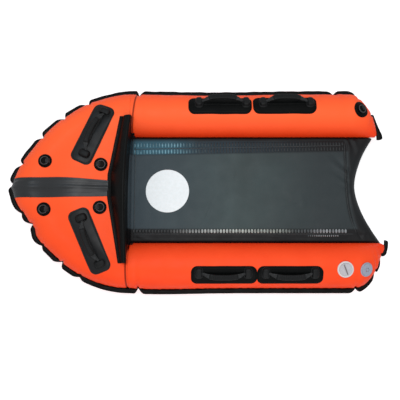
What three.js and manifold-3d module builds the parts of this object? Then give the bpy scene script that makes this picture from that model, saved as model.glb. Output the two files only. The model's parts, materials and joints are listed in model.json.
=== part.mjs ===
// Inflatable rescue board: a scalloped bow chamber and two side tubes that share one air space, with
// a low foam deck between them. Millimetres, +Z up, nose towards -X, starboard towards +Y.
// The origin is the middle of the hull floor's flat underside.
import * as THREE from 'three';
import { mergeVertices } from 'three/addons/utils/BufferGeometryUtils.js';
import Module from 'manifold-3d';

const wasm = await Module();
wasm.setup();

// Fits
const clearance = 0.3;
const layerClearance = 0.4;
const overrun = 30;
const weldDistance = 0.001;
const sameShare = 1e-6;

// Air chambers
const skinWall = 2;
const tubeRadius = 100;
const tubeSpread = 341;
const bowEndX = -300;
const bowLength = 520;
const noseRise = 60;
const bowCrown = 22;
const tubeLength = 990;
const tailLength = 126;
const noseThinningShare = 0.16;
const bowSideFullness = 2;
const bowNoseFullness = 1.35;
const tailFullness = 1.7;
const tailCloseShare = 0.95;
const tailLagShares = [0.55, 0.4];

// Seam flange round the outer edge, gathered in at each notch
const flangeWidth = 20;
const flangeThickness = 3;
const flangeRoot = 10;
const notchDraw = 9;
const notchReach = 45;
const shortLobe = 135;
const notchFade = 1.4;
const flangeGatherShare = 0.85;
const tailTabWidth = 12;
const tailTabShares = [[0, 0], [0.67, 0.1], [1, 0.6]];
const notchSampleShares = [0, 0.35, 1];
const edgeStep = 100;
const tubeStep = 400;
const plainStep = 70;
const bowNotchShares = {
  starboard: [[0, 0], [0.292, 1], [0.459, 1], [0.639, 0.9], [0.848, 1], [1, 0.7]],
  port: [[0, 0], [0.305, 0.5], [0.447, 1], [0.597, 0.5], [0.748, 1], [0.829, 0.5], [1, 0.7]],
};
const tubeNotchShares = {
  starboard: [[0, 0], [0.024, 1], [0.931, 0.8], [1, 0]],
  port: [[0, 0], [0.035, 1], [1, 0.8]],
};
const tailNotchShares = {
  starboard: [[0, 0], [0.185, 0.9], [0.568, 0.9], [tailCloseShare, 0]],
  port: [[0, 0.8], [0.47, 1], [0.765, 1], [tailCloseShare, 0]],
};

// Hull floor and deck
const floorThickness = 3;
const floorLap = 6;
const floorNoseLap = 22;
const coverWall = 2;
const deckRise = 9;
const deckCrown = 5;
const deckShoulder = 12;
const deckCornerShare = 0.968;
const recessDepth = 101;
const deckRearRound = 42;
const recessFullness = 1.75;
const badgeSetback = 163;
const badgeAside = 8.5;
const badgeDiameter = 194;
const badgeThickness = 1;

// Breakwater and the strip down the bow
const breakwaterDepth = 92;
const breakwaterTipDepth = 42;
const breakwaterHalfSpan = 322;
const breakwaterNotch = 50;
const breakwaterRise = 62;
const breakwaterTipRise = 34;
const breakwaterWall = 2.5;
const ridgeWidth = 14;
const foamClearance = 1.5;
const stripWidth = 95;
const stripThickness = 1.5;
const ribWidth = 16;
const ribHeight = 4;

// Carrying handles
const patchLength = 281;
const patchWidth = 80;
const patchCorner = 22;
const patchThickness = 1.5;
const bowPatchLength = 270;
const gripHalfSpan = 88;
const gripRise = 30;
const gripLean = 45;
const pivotHeight = 9;
const stubRadius = 4;
const stubLength = 8;
const webbingHalfWidth = 12;
const webbingHalfThickness = 1.6;
const sleeveHalfLength = 60;
const sleeveHalfWidth = 15.5;
const sleeveHalfThickness = 7.5;
const sleeveEndTaper = 6;
const keeperLength = 32;
const keeperWidth = 46;
const keeperHeight = 15;
const keeperSlope = 7;
const loopStationShares = [-1, -0.88, -0.74, -0.4, 0, 0.4, 0.74, 0.88, 1];
const fullWidthShare = 0.76;
const archPower = 3;
const bowHandleLie = [-0.921, 0.389];
const bowHandleOutShares = { starboard: 0.5305, port: 0.5395 };
const starboardBowHandleAhead = 92;
const portBowHandleAhead = 98;
const sideHandleGap = 3;
const sideHandleOutShares = { starboard: 0.36, port: 0.32 };

// Lashing rings
const ringPatchDiameter = 59;
const tailRingPatchDiameter = 74;
const ringPatchThickness = 1.5;
const ringWire = 2.5;
const ringHalfWidth = 17;
const ringReach = 30;
const ringBarSetback = 12;
const ringPivotHeight = 6;
const tabWidth = 20;
const tabDepth = 12;
const tabHeight = 10.5;
const ringBendTurn = 10;
const ringMitreLimit = 0.8;
const breakwaterRingGap = 8;
const bowRingShares = { starboard: [0.6905, 0.24], port: [0.6865, 0.236] };
const breakwaterRingOutShare = 0.213;
const tailRingShares = [0.279, 0.06];
const tailRingLie = [-0.8, -0.6];

// Valves in the port tail
const inflationValve = { flangeRadius: 35, flangeHeight: 5, barrelRadius: 20, boreRadius: 15, depth: 40 };
const reliefValve = { flangeRadius: 31, flangeHeight: 4.5, barrelRadius: 15, boreRadius: 11.5, depth: 30 };
const inflationValveShares = [-0.508, 0.17];
const handleValveGap = 57.5;
const reliefValveShares = [0.215, 0.176];
const valveLip = 3;
const valveLipHeight = 3;
const capRadius = 27;
const capRecess = 2;
const capThickness = 5;
const capEdge = 1;
const capBarLength = 46;
const capBarWidth = 6;
const capBarHeight = 3;
const capBarTurn = 122;
const plungerHeight = 6;
const plungerTopGap = 4;
const springWire = 1;
const springTurns = 4;
const ventRadius = 2.5;
const ventCount = 6;
const ventCircle = 8;
const ventSides = 6;
const nutWidth = 12;
const nutHeight = 7;

// Materials
const orangeFabric = new THREE.MeshStandardMaterial({ color: 0xff4a1c, roughness: 0.5, metalness: 0 });
const blackFabric = new THREE.MeshStandardMaterial({ color: 0x1d1f21, roughness: 0.45, metalness: 0 });
const deckFabric = new THREE.MeshStandardMaterial({ color: 0x3c4446, roughness: 0.4, metalness: 0 });
const whiteVinyl = new THREE.MeshStandardMaterial({ color: 0xf2f2ee, roughness: 0.4, metalness: 0 });
const webbing = new THREE.MeshStandardMaterial({ color: 0x17181a, roughness: 0.85, metalness: 0 });
const gripRubber = new THREE.MeshStandardMaterial({ color: 0x202224, roughness: 0.6, metalness: 0 });
const foam = new THREE.MeshStandardMaterial({ color: 0xd8d4c8, roughness: 0.9, metalness: 0 });
const greyPlastic = new THREE.MeshStandardMaterial({ color: 0xa9adad, roughness: 0.4, metalness: 0 });
const blackPlastic = new THREE.MeshStandardMaterial({ color: 0x222325, roughness: 0.4, metalness: 0 });
const steel = new THREE.MeshStandardMaterial({ color: 0xc4c6c8, roughness: 0.3, metalness: 1 });

const board = new THREE.Group();

// Levels and lines that follow from the sizes above
const tubeEndX = bowEndX + tubeLength;
const innerY = tubeSpread - tubeRadius;
const outerY = tubeSpread + tubeRadius;
const seamLevel = floorThickness + clearance + tubeRadius;
const seamBase = { outer: flangeThickness / 2 + clearance, inner: clearance / 2 };
const openBase = { outer: -overrun, inner: -overrun };
const degrees = Math.PI / 180;

// A closed geometry as a solid, with its faces turned outwards
function solid(geometry) {
  const bare = geometry.clone();
  bare.deleteAttribute('normal');
  bare.deleteAttribute('uv');
  const merged = mergeVertices(bare, weldDistance);
  const corners = merged.index.array;
  const places = merged.attributes.position;
  const triangles = [];
  let volume = 0;
  const a = new THREE.Vector3();
  const b = new THREE.Vector3();
  const c = new THREE.Vector3();
  for (let k = 0; k < corners.length; k += 3) {
    const [i, j, m] = [corners[k], corners[k + 1], corners[k + 2]];
    if (i === j || j === m || m === i) {
      continue;
    }
    triangles.push([i, j, m]);
    a.fromBufferAttribute(places, i);
    b.fromBufferAttribute(places, j);
    c.fromBufferAttribute(places, m);
    volume += a.dot(b.cross(c));
  }
  const outward = volume > 0 ? triangles : triangles.map(([i, j, m]) => [i, m, j]);
  const mesh = new wasm.Mesh({
    numProp: 3,
    vertProperties: Float32Array.from(places.array),
    triVerts: Uint32Array.from(outward.flat()),
  });
  return new wasm.Manifold(mesh);
}

function moved(shape, matrix) {
  return shape.transform(matrix.toArray());
}

function surface(shape) {
  const mesh = shape.getMesh();
  const geometry = new THREE.BufferGeometry();
  geometry.setAttribute('position', new THREE.BufferAttribute(Float32Array.from(mesh.vertProperties), 3));
  geometry.setIndex(new THREE.BufferAttribute(Uint32Array.from(mesh.triVerts), 1));
  geometry.computeVertexNormals();
  return geometry;
}

// Adds one named piece to the board, or to a placed group of it
function addPiece(name, shape, material, parent = board) {
  const piece = new THREE.Mesh(surface(shape), material);
  piece.name = name;
  parent.add(piece);
  return piece;
}

// Triangles that fill one flat ring of points, turned the way the ring runs
function ringFaces(ring) {
  const normal = new THREE.Vector3();
  ring.forEach((point, k) => {
    normal.add(new THREE.Vector3().crossVectors(point, ring[(k + 1) % ring.length]));
  });
  normal.normalize();
  const across = new THREE.Vector3(1, 0, 0);
  if (Math.abs(normal.x) > 0.9) {
    across.set(0, 1, 0);
  }
  across.addScaledVector(normal, -across.dot(normal)).normalize();
  const upwards = new THREE.Vector3().crossVectors(normal, across);
  const flat = ring.map((point) => new THREE.Vector2(point.dot(across), point.dot(upwards)));
  return THREE.ShapeUtils.triangulateShape(flat, []).map(([i, j, k]) => {
    const first = flat[j].clone().sub(flat[i]);
    const second = flat[k].clone().sub(flat[i]);
    return first.cross(second) > 0 ? [i, j, k] : [i, k, j];
  });
}

// A solid skinned over rings of equal count, closed by flat ends or joined round into a loop
function loft(rings, looped = false) {
  const count = rings[0].length;
  const faces = [];
  const last = looped ? rings.length : rings.length - 1;
  for (let r = 0; r < last; r += 1) {
    const next = ((r + 1) % rings.length) * count;
    for (let k = 0; k < count; k += 1) {
      const a = r * count + k;
      const b = r * count + ((k + 1) % count);
      const step = next - r * count;
      faces.push([a, b, b + step], [a, b + step, a + step]);
    }
  }
  if (!looped) {
    const end = (rings.length - 1) * count;
    ringFaces(rings[0]).forEach(([i, j, k]) => faces.push([i, k, j]));
    ringFaces(rings[rings.length - 1]).forEach(([i, j, k]) => faces.push([end + i, end + j, end + k]));
  }
  const geometry = new THREE.BufferGeometry().setFromPoints(rings.flat());
  geometry.setIndex(faces.flat());
  return solid(geometry);
}

// One quarter of a superellipse, from its side (share 0) to its tip (share 1)
class EdgeQuarter extends THREE.Curve {
  constructor(reach, breadth, sideFullness, tipFullness = sideFullness) {
    super();
    this.reach = reach;
    this.breadth = breadth;
    this.sidePower = 2 / sideFullness;
    this.tipPower = 2 / tipFullness;
  }

  getPoint(t, target = new THREE.Vector2()) {
    const turn = (t * Math.PI) / 2;
    const along = Math.sin(turn) ** this.sidePower;
    const across = Math.max(0, Math.cos(turn)) ** this.tipPower;
    return target.set(this.reach * along, this.breadth * across);
  }
}

// Places along an edge, closer together beside each notch, with how near each lies to a notch
function edgePlaces(length, notches, longestStep) {
  const places = [];
  for (let k = 0; k + 1 < notches.length; k += 1) {
    const [start, startDepth] = notches[k];
    const [finish, finishDepth] = notches[k + 1];
    const gap = (finish - start) * length;
    const reach = gap < shortLobe ? gap / 2 : notchReach;
    const steps = Math.ceil((gap - 2 * reach) / longestStep);
    const distances = notchSampleShares.map((share) => share * reach);
    for (let step = 1; step < steps; step += 1) {
      distances.push(reach + ((gap - 2 * reach) * step) / steps);
    }
    distances.push(...notchSampleShares.slice(1).reverse().map((share) => gap - share * reach));
    distances.forEach((distance) => {
      const near = Math.max(0, 1 - distance / reach) ** 2 * startDepth;
      const far = Math.max(0, 1 - (gap - distance) / reach) ** 2 * finishDepth;
      places.push({ share: start + distance / length, closeness: Math.max(near, far) });
    });
  }
  const [end, endDepth] = notches[notches.length - 1];
  places.push({ share: end, closeness: endDepth });
  return places.filter((place, k) => k === 0 || place.share - places[k - 1].share > sameShare);
}

// Ribs of the bow, each a line across the chamber from its outer edge to its aft edge
function bowRibs(side, notches, longestStep) {
  const edge = new EdgeQuarter(bowLength, outerY, bowSideFullness, bowNoseFullness);
  const endX = bowEndX - clearance / 2;
  return edgePlaces(edge.getLength(), notches, longestStep).map(({ share, closeness }) => {
    const point = edge.getPointAt(share);
    return {
      outer: new THREE.Vector2(endX - point.x, side * point.y),
      inner: new THREE.Vector2(endX, side * innerY * (1 - share)),
      closeness,
    };
  });
}

// Ribs of one side tube, straight across it and then fanned round its tail
function tubeRibs(sideName, side) {
  const startX = bowEndX + clearance / 2;
  const length = tubeEndX - startX;
  const straight = edgePlaces(length, tubeNotchShares[sideName], tubeStep).map(({ share, closeness }) => {
    const x = startX + share * length;
    return {
      outer: new THREE.Vector2(x, side * outerY),
      inner: new THREE.Vector2(x, side * innerY),
      closeness,
    };
  });
  const edge = new EdgeQuarter(tailLength, 2 * tubeRadius, tailFullness);
  const tail = edgePlaces(edge.getLength(), tailNotchShares[sideName], edgeStep).slice(1);
  const [lagStart, lagGain] = tailLagShares;
  const fanned = tail.map(({ share, closeness }) => {
    const point = edge.getPointAt(share);
    return {
      outer: new THREE.Vector2(tubeEndX + point.x, side * (innerY + point.y)),
      inner: new THREE.Vector2(tubeEndX + point.x * (lagStart + lagGain * share), side * innerY),
      closeness,
    };
  });
  return [...straight, ...fanned];
}

function aheadShare(x) {
  return Math.max(0, (bowEndX - x) / bowLength);
}

function seamHeight(x) {
  return seamLevel + noseRise * aheadShare(x) ** 2;
}

// One closed half section of a chamber on a rib: half is +1 above the seam and -1 below it, and grow
// moves the surface out (or in) square to itself
function halfSection(rib, half, grow, base, arcSteps, flatSteps) {
  const direction = rib.inner.clone().sub(rib.outer).normalize();
  const span = rib.inner.distanceTo(rib.outer);
  const radius = Math.min(tubeRadius, span / 2);
  const flat = span - 2 * radius;
  const crown = half > 0 ? (bowCrown * flat) / (bowLength - 2 * tubeRadius) : 0;
  const pull = notchDraw * rib.closeness;
  const section = [[pull - grow, base.outer, 0]];
  for (let k = base.outer < 0 ? 0 : 1; k <= arcSteps; k += 1) {
    const turn = (k / arcSteps) * 90 * degrees;
    const [across, up] = [Math.cos(turn), Math.sin(turn)];
    const drawn = pull * (1 - up) ** notchFade;
    section.push([radius - (radius + grow) * across + drawn, grow * up, radius * up]);
  }
  for (let k = 1; k <= flatSteps; k += 1) {
    const share = k / flatSteps;
    section.push([radius + flat * share, grow + crown * Math.sin(Math.PI * share) ** 2, radius]);
  }
  for (let k = arcSteps - 1; k > 0; k -= 1) {
    const turn = (k / arcSteps) * 90 * degrees;
    const [across, up] = [Math.cos(turn), Math.sin(turn)];
    section.push([span - radius + (radius + grow) * across, grow * up, radius * up]);
  }
  if (base.inner < 0) {
    section.push([span + grow, 0, 0]);
  }
  section.push([span + grow, base.inner, 0], [Math.min(2 * flangeRoot, span / 3), base.outer, 0]);
  return section.map(([along, plain, thinned]) => {
    const x = rib.outer.x + direction.x * along;
    const y = rib.outer.y + direction.y * along;
    const thinning = 1 - noseThinningShare * aheadShare(x) ** 2;
    return new THREE.Vector3(x, y, seamHeight(x) + half * (plain + thinned * thinning));
  });
}

// A chamber, or one half of it, skinned over its ribs
function chamberHalf(ribs, half, grow, base, arcSteps, flatSteps) {
  return loft(ribs.map((rib) => halfSection(rib, half, grow, base, arcSteps, flatSteps)));
}

// Ribs for the air space, drawn in as far as their neighbours, so that the space stays inside the
// scallops, and carried on through the open end. The bow's, open at both ends, are every second one
function hollowRibs(ribs, shift, openEnds) {
  const drawnIn = ribs.map((rib, k) => {
    const beside = [ribs[k - 1] ?? rib, rib, ribs[k + 1] ?? rib].map(({ closeness }) => closeness);
    return { ...rib, closeness: Math.max(...beside) };
  }).filter((rib, k) => openEnds === 1 || k % 2 === 0 || k === ribs.length - 1);
  const offset = new THREE.Vector2(shift, 0);
  const carried = (rib) => {
    const [outer, inner] = [rib.outer.clone().add(offset), rib.inner.clone().add(offset)];
    return { ...rib, outer, inner };
  };
  const start = carried(drawnIn[0]);
  const finish = carried(drawnIn[drawnIn.length - 1]);
  return openEnds === 2 ? [start, ...drawnIn, finish] : [start, ...drawnIn.slice(0, -1)];
}

function roundTheNose(starboardNotches, portNotches, longestStep) {
  const starboard = bowRibs(1, starboardNotches, longestStep);
  const port = bowRibs(-1, portNotches, longestStep);
  return [...starboard, ...port.reverse().slice(1)];
}

const allBowRibs = roundTheNose(bowNotchShares.starboard, bowNotchShares.port, edgeStep);
const plainNotches = [[0, 0], [1, 0]];
const plainBowRibs = roundTheNose(plainNotches, plainNotches, plainStep);
const hollowBowRibs = hollowRibs(allBowRibs, overrun, 2);
const sideTubes = [
  { name: 'starboard', side: 1, ribs: tubeRibs('starboard', 1) },
  { name: 'port', side: -1, ribs: tubeRibs('port', -1) },
];
const fineArc = 4;
const coarseArc = 3;
const hollowArc = 3;
const crownSteps = 4;
const bellySteps = 1;
const roundSegments = 20;
const boreSegments = 12;

function bowHalf(half, grow, ribs = allBowRibs) {
  const [arc, flat] = half > 0 ? [fineArc, crownSteps] : [coarseArc, bellySteps];
  return chamberHalf(ribs, half, grow, seamBase, arc, flat);
}

function tubeHalf(tube, half, grow) {
  return chamberHalf(tube.ribs, half, grow, seamBase, half > 0 ? fineArc : coarseArc, 0);
}

function bowHollow(half) {
  const flat = half > 0 ? crownSteps : bellySteps;
  return chamberHalf(hollowBowRibs, half, -skinWall, openBase, hollowArc, flat);
}

function tubeHollow(tube, half, grow = -skinWall) {
  return chamberHalf(hollowRibs(tube.ribs, -overrun, 1), half, grow, openBase, hollowArc, 0);
}

// Everything above the seam, grown by a given amount, with the bow's scallops left out: what patches
// and fittings are laid on
const grownShapes = new Map();
function topsides(grow) {
  if (!grownShapes.has(grow)) {
    const bow = bowHalf(1, grow, plainBowRibs);
    const tubes = sideTubes.map((tube) => tubeHalf(tube, 1, grow));
    grownShapes.set(grow, tubes.reduce((sum, tube) => sum.add(tube), bow));
  }
  return grownShapes.get(grow);
}

// A layer of even thickness that follows the skin
function layer(thickness) {
  return topsides(clearance + thickness).subtract(topsides(layerClearance));
}

// Where a plumb line meets the top of the skin
const touchdown = new THREE.Mesh(
  new THREE.BufferGeometry(),
  new THREE.MeshBasicMaterial({ side: THREE.DoubleSide }),
);
touchdown.geometry = surface(topsides(0));
const plumbHeight = 2 * (seamLevel + noseRise + tubeRadius + bowCrown);
function onSkin(x, y) {
  const ray = new THREE.Raycaster(new THREE.Vector3(x, y, plumbHeight), new THREE.Vector3(0, 0, -1));
  return ray.intersectObject(touchdown)[0].point;
}

// A frame on the skin: Y lies along the given plan direction, Z stands square to the skin
function skinFrame(x, y, lie, reach) {
  const towards = new THREE.Vector2(...lie).normalize().multiplyScalar(reach);
  const sideways = new THREE.Vector2(towards.y, -towards.x);
  const slope = (step) => onSkin(x + step.x, y + step.y).sub(onSkin(x - step.x, y - step.y)).normalize();
  const lieAxis = slope(towards);
  const barAxis = slope(sideways);
  const normal = new THREE.Vector3().crossVectors(barAxis, lieAxis).normalize();
  const squareLie = new THREE.Vector3().crossVectors(normal, barAxis);
  return new THREE.Matrix4().makeBasis(barAxis, squareLie, normal).setPosition(onSkin(x, y));
}

// A group that stands in such a frame, lifted off the skin
function framedGroup(frame, lift) {
  const group = new THREE.Group();
  const lifted = frame.clone().multiply(new THREE.Matrix4().makeTranslation(0, 0, lift));
  lifted.decompose(group.position, group.quaternion, group.scale);
  board.add(group);
  return group;
}

// A straight prism on a plan outline, standing on z = bottom
function prism(shape, bottom, height, curveSegments = 5) {
  const geometry = new THREE.ExtrudeGeometry(shape, { depth: height, bevelEnabled: false, curveSegments });
  geometry.translate(0, 0, bottom);
  return solid(geometry);
}

function box(width, depth, height) {
  return solid(new THREE.BoxGeometry(width, depth, height));
}

function roundedOutline(length, width, corner) {
  const shape = new THREE.Shape();
  const [x, y] = [length / 2, width / 2];
  shape.moveTo(corner - x, -y);
  shape.lineTo(x - corner, -y);
  shape.absarc(x - corner, corner - y, corner, -Math.PI / 2, 0);
  shape.lineTo(x, y - corner);
  shape.absarc(x - corner, y - corner, corner, 0, Math.PI / 2);
  shape.lineTo(corner - x, y);
  shape.absarc(corner - x, y - corner, corner, Math.PI / 2, Math.PI);
  shape.lineTo(-x, corner - y);
  shape.absarc(corner - x, corner - y, corner, Math.PI, Math.PI * 1.5);
  return shape;
}

function discOutline(radius) {
  const shape = new THREE.Shape();
  shape.absarc(0, 0, radius, 0, Math.PI * 2);
  return shape;
}

// A solid turned about Z from its half profile, given as [radius, height] pairs
function turned(profile, segments) {
  const points = profile.map(([radius, height]) => new THREE.Vector2(radius, height));
  const geometry = new THREE.LatheGeometry([...points, points[0].clone()], segments);
  geometry.rotateX(Math.PI / 2);
  return solid(geometry);
}

// Air chambers and their seam flanges
function flangePlate(ribs, tip = []) {
  return loft([...ribs, ...tip].map((rib) => {
    const direction = rib.inner.clone().sub(rib.outer).normalize();
    const pull = notchDraw * rib.closeness;
    const edge = pull - flangeWidth * (1 - flangeGatherShare * rib.closeness);
    const root = Math.min(flangeRoot + pull, rib.inner.distanceTo(rib.outer) / 3);
    return [[edge, -1], [root, -1], [root, 1], [edge, 1]].map(([along, level]) => {
      const x = rib.outer.x + direction.x * along;
      const y = rib.outer.y + direction.y * along;
      return new THREE.Vector3(x, y, seamHeight(x) + (level * flangeThickness) / 2);
    });
  }));
}

addPiece('bow_upper_skin', bowHalf(1, 0).subtract(bowHollow(1)), orangeFabric);
addPiece('bow_lower_skin', bowHalf(-1, 0).subtract(bowHollow(-1)), orangeFabric);
addPiece('bow_seam_flange', flangePlate(allBowRibs), blackFabric);

// The valve frames come first, because the port skin is cut for them
function valveX([along]) {
  return tubeEndX + along * tailLength;
}

function valveFrame(valve, shares) {
  const y = -(tubeSpread + shares[1] * tubeRadius);
  return skinFrame(valveX(shares), y, [0, 1], valve.flangeRadius);
}
inflationValve.frame = valveFrame(inflationValve, inflationValveShares);
reliefValve.frame = valveFrame(reliefValve, reliefValveShares);

function valveHole(valve) {
  const radius = valve.barrelRadius + clearance;
  const drill = turned([[0, -overrun], [radius, -overrun], [radius, overrun], [0, overrun]], roundSegments);
  return moved(drill, valve.frame);
}

sideTubes.forEach((tube) => {
  let upper = tubeHalf(tube, 1, 0).subtract(tubeHollow(tube, 1));
  if (tube.name === 'port') {
    upper = upper.subtract(valveHole(inflationValve)).subtract(valveHole(reliefValve));
  }
  // The flange ends in a rounded tab that reaches inboard of the tail's tip
  const tipX = tubeEndX + tailLength;
  const tip = tailTabShares.map(([share, closeness]) => {
    const tipY = tube.side * (innerY + flangeThickness - share * (tailTabWidth + flangeThickness));
    return {
      outer: new THREE.Vector2(tipX, tipY),
      inner: new THREE.Vector2(tipX - clearance, tipY),
      closeness,
    };
  });
  const lower = tubeHalf(tube, -1, 0).subtract(tubeHollow(tube, -1));
  addPiece(`${tube.name}_tube_upper_skin`, upper, orangeFabric);
  addPiece(`${tube.name}_tube_lower_skin`, lower, orangeFabric);
  addPiece(`${tube.name}_seam_flange`, flangePlate(tube.ribs, tip), blackFabric);
});

// The curved rear edge, and the deck and floor that end at it
const deckCornerX = tubeEndX + deckCornerShare * tailLength;
const deckRearX = deckCornerX - recessDepth;
function recessX(y) {
  const share = Math.min(1, Math.abs(y) / innerY);
  return deckRearX + (deckCornerX - deckRearX) * share ** recessFullness;
}

const recessSteps = 12;
function hullFloor() {
  const shape = new THREE.Shape();
  const halfWidth = tubeSpread + floorLap;
  shape.moveTo(bowEndX - floorNoseLap, -halfWidth);
  shape.lineTo(tubeEndX, -halfWidth);
  for (let k = 0; k <= recessSteps; k += 1) {
    const y = innerY * ((2 * k) / recessSteps - 1);
    shape.lineTo(recessX(y), y);
  }
  shape.lineTo(tubeEndX, halfWidth);
  shape.lineTo(bowEndX - floorNoseLap, halfWidth);
  return prism(shape, 0, floorThickness);
}

const deckRoundSteps = 4;
// The deck's outer form, moved in (or out) by inset, with its underside at the given height
function deckForm(inset, bottom) {
  const halfWidth = innerY - clearance - inset;
  const shoulder = halfWidth - deckShoulder;
  const rows = [-halfWidth, -shoulder, -shoulder / 2, 0, shoulder / 2, shoulder, halfWidth];
  return loft(rows.map((y) => {
    const lip = Math.abs(y) > shoulder ? 0 : deckRise + deckCrown * (1 - (y / halfWidth) ** 2);
    const top = seamLevel + lip - inset;
    const front = bowEndX + clearance + inset;
    const rear = recessX(y) - inset;
    const round = deckRearRound - inset;
    const ring = [[front, bottom], [front, top]];
    for (let k = 0; k <= deckRoundSteps; k += 1) {
      const turn = (k / deckRoundSteps) * 90 * degrees;
      ring.push([rear - round + round * Math.sin(turn), top - round + round * Math.cos(turn)]);
    }
    ring.push([rear, bottom]);
    return ring.map(([x, z]) => new THREE.Vector3(x, y, z));
  }));
}

const deckBottom = floorThickness + clearance;
addPiece('hull_floor', hullFloor(), blackFabric);
addPiece('deck_cover', deckForm(0, deckBottom).subtract(deckForm(coverWall, -overrun)), deckFabric);
addPiece('deck_foam_core', deckForm(coverWall + clearance, deckBottom), foam);

function badge() {
  const radius = badgeDiameter / 2;
  const drum = prism(discOutline(radius), seamLevel, overrun, 12).translate(bowEndX + badgeSetback, -badgeAside, 0);
  const base = deckForm(-clearance, deckBottom);
  return drum.intersect(deckForm(-clearance - badgeThickness, deckBottom)).subtract(base);
}
addPiece('badge_disc', badge(), whiteVinyl);

// The breakwater: a wedge whose low front edge is a flattened V and whose back stands upright
const breakwaterApexX = bowEndX - breakwaterDepth;
function outShare(y) {
  return Math.max(0, Math.abs(y) - breakwaterNotch) / (breakwaterHalfSpan - breakwaterNotch);
}

function breakwaterFrontX(y) {
  return breakwaterApexX + (breakwaterDepth - breakwaterTipDepth) * outShare(y);
}

function breakwaterForm(inset, bottom) {
  const end = breakwaterHalfSpan;
  const rows = [-end, -end / 2, -breakwaterNotch, 0, breakwaterNotch, end / 2, end];
  return loft(rows.map((row) => {
    const frontX = breakwaterFrontX(row);
    const toe = onSkin(frontX, row).z + breakwaterWall - inset;
    const toeX = frontX + 2 * inset;
    const y = Math.abs(row) === end ? row - Math.sign(row) * inset : row;
    const rise = breakwaterRise + (breakwaterTipRise - breakwaterRise) * outShare(row);
    const ridge = seamLevel + tubeRadius + rise - 2 * inset;
    const back = bowEndX - clearance - inset;
    const ring = [[toeX, bottom], [toeX, toe], [back - ridgeWidth, ridge], [back, ridge], [back, bottom]];
    return ring.map(([x, z]) => new THREE.Vector3(x, y, z));
  }));
}

const breakwaterBottom = seamLevel + deckRise + deckCrown + clearance;
const breakwater = breakwaterForm(0, breakwaterBottom)
  .subtract(topsides(clearance))
  .subtract(bowHalf(1, clearance));
const breakwaterCover = breakwater.subtract(breakwaterForm(breakwaterWall, -overrun));
const breakwaterFoam = breakwaterForm(breakwaterWall + clearance, breakwaterBottom + clearance);
addPiece('breakwater_cover', breakwaterCover, blackFabric);
addPiece('breakwater_foam', breakwaterFoam.subtract(topsides(foamClearance)), foam);

function bowStrip() {
  const length = bowLength + breakwaterApexX - bowEndX + flangeWidth - clearance;
  const centre = breakwaterApexX - clearance - length / 2;
  const height = plumbHeight;
  const middle = seamLevel + noseRise + flangeThickness + height / 2;
  const band = box(length, stripWidth, height).translate(centre, 0, middle);
  const rib = box(length, ribWidth, height).translate(centre, 0, middle);
  return band.intersect(layer(stripThickness)).add(rib.intersect(layer(ribHeight)));
}
addPiece('bow_centre_strip', bowStrip(), blackFabric);

// Handles. The loop is an arch between two keepers, and its frame's X axis is the line it tips about
function archPoint(share) {
  const rise = gripRise * (1 - Math.abs(share) ** archPower);
  return new THREE.Vector3(
    share * gripHalfSpan,
    rise * Math.sin(gripLean * degrees),
    rise * Math.cos(gripLean * degrees),
  );
}

const webbingSides = 6;
const sleeveSides = 8;
function loopRing(centre, halfWidth, halfThickness, sides) {
  return Array.from({ length: sides }, (unused, k) => {
    const turn = (k / sides) * 2 * Math.PI;
    const [out, up] = [halfWidth * Math.cos(turn), halfThickness * Math.sin(turn)];
    return new THREE.Vector3(centre.x, centre.y + out, centre.z + up);
  });
}

// The webbing widens from its round ends to its full width
function webbingRing(share, grow) {
  const spread = Math.min(1, (1 - Math.abs(share)) / (1 - fullWidthShare));
  const halfWidth = stubRadius + (webbingHalfWidth - stubRadius) * spread + grow;
  const halfThickness = stubRadius + (webbingHalfThickness - stubRadius) * spread + grow;
  return loopRing(archPoint(share), halfWidth, halfThickness, webbingSides);
}

function stubRing(end, out) {
  const centre = archPoint(end).add(new THREE.Vector3(end * out, 0, 0));
  return loopRing(centre, stubRadius, stubRadius, webbingSides);
}

function handleWebbing() {
  const rings = loopStationShares.map((share) => webbingRing(share, 0));
  const stub = stubLength;
  return loft([stubRing(-1, stub), ...rings, stubRing(1, stub)]);
}

function gripSleeve() {
  const endShare = sleeveHalfLength / gripHalfSpan;
  const shoulderShare = (sleeveHalfLength - sleeveEndTaper) / gripHalfSpan;
  const stations = [-endShare, -shoulderShare, -endShare / 2, 0, endShare / 2, shoulderShare, endShare];
  const outer = stations.map((share) => {
    const closing = Math.abs(share) > shoulderShare ? sleeveEndTaper / 3 : 0;
    return loopRing(archPoint(share), sleeveHalfWidth - closing, sleeveHalfThickness - closing, sleeveSides);
  });
  const bore = loopStationShares.slice(1, -1).map((share) => webbingRing(share, clearance));
  return loft(outer).subtract(loft(bore));
}

function keeper(end) {
  const inner = gripHalfSpan + clearance;
  const middle = end * (inner + keeperLength / 2);
  const ringAt = (length, width, height) => [
    [-length / 2, -width / 4], [-length / 4, -width / 2], [length / 4, -width / 2], [length / 2, -width / 4],
    [length / 2, width / 4], [length / 4, width / 2], [-length / 4, width / 2], [-length / 2, width / 4],
  ].map(([x, y]) => new THREE.Vector3(middle + x, y, height));
  const body = loft([
    ringAt(keeperLength, keeperWidth, -keeperHeight),
    ringAt(keeperLength, keeperWidth, keeperHeight / 2),
    ringAt(keeperLength - keeperSlope, keeperWidth - keeperSlope, keeperHeight),
  ]);
  const radius = stubRadius + 2 * clearance;
  const socket = new THREE.CylinderGeometry(radius, radius, 2 * (stubLength + clearance), 8);
  socket.rotateZ(Math.PI / 2);
  socket.translate(end * inner, 0, pivotHeight);
  return body.subtract(solid(socket));
}

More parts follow.
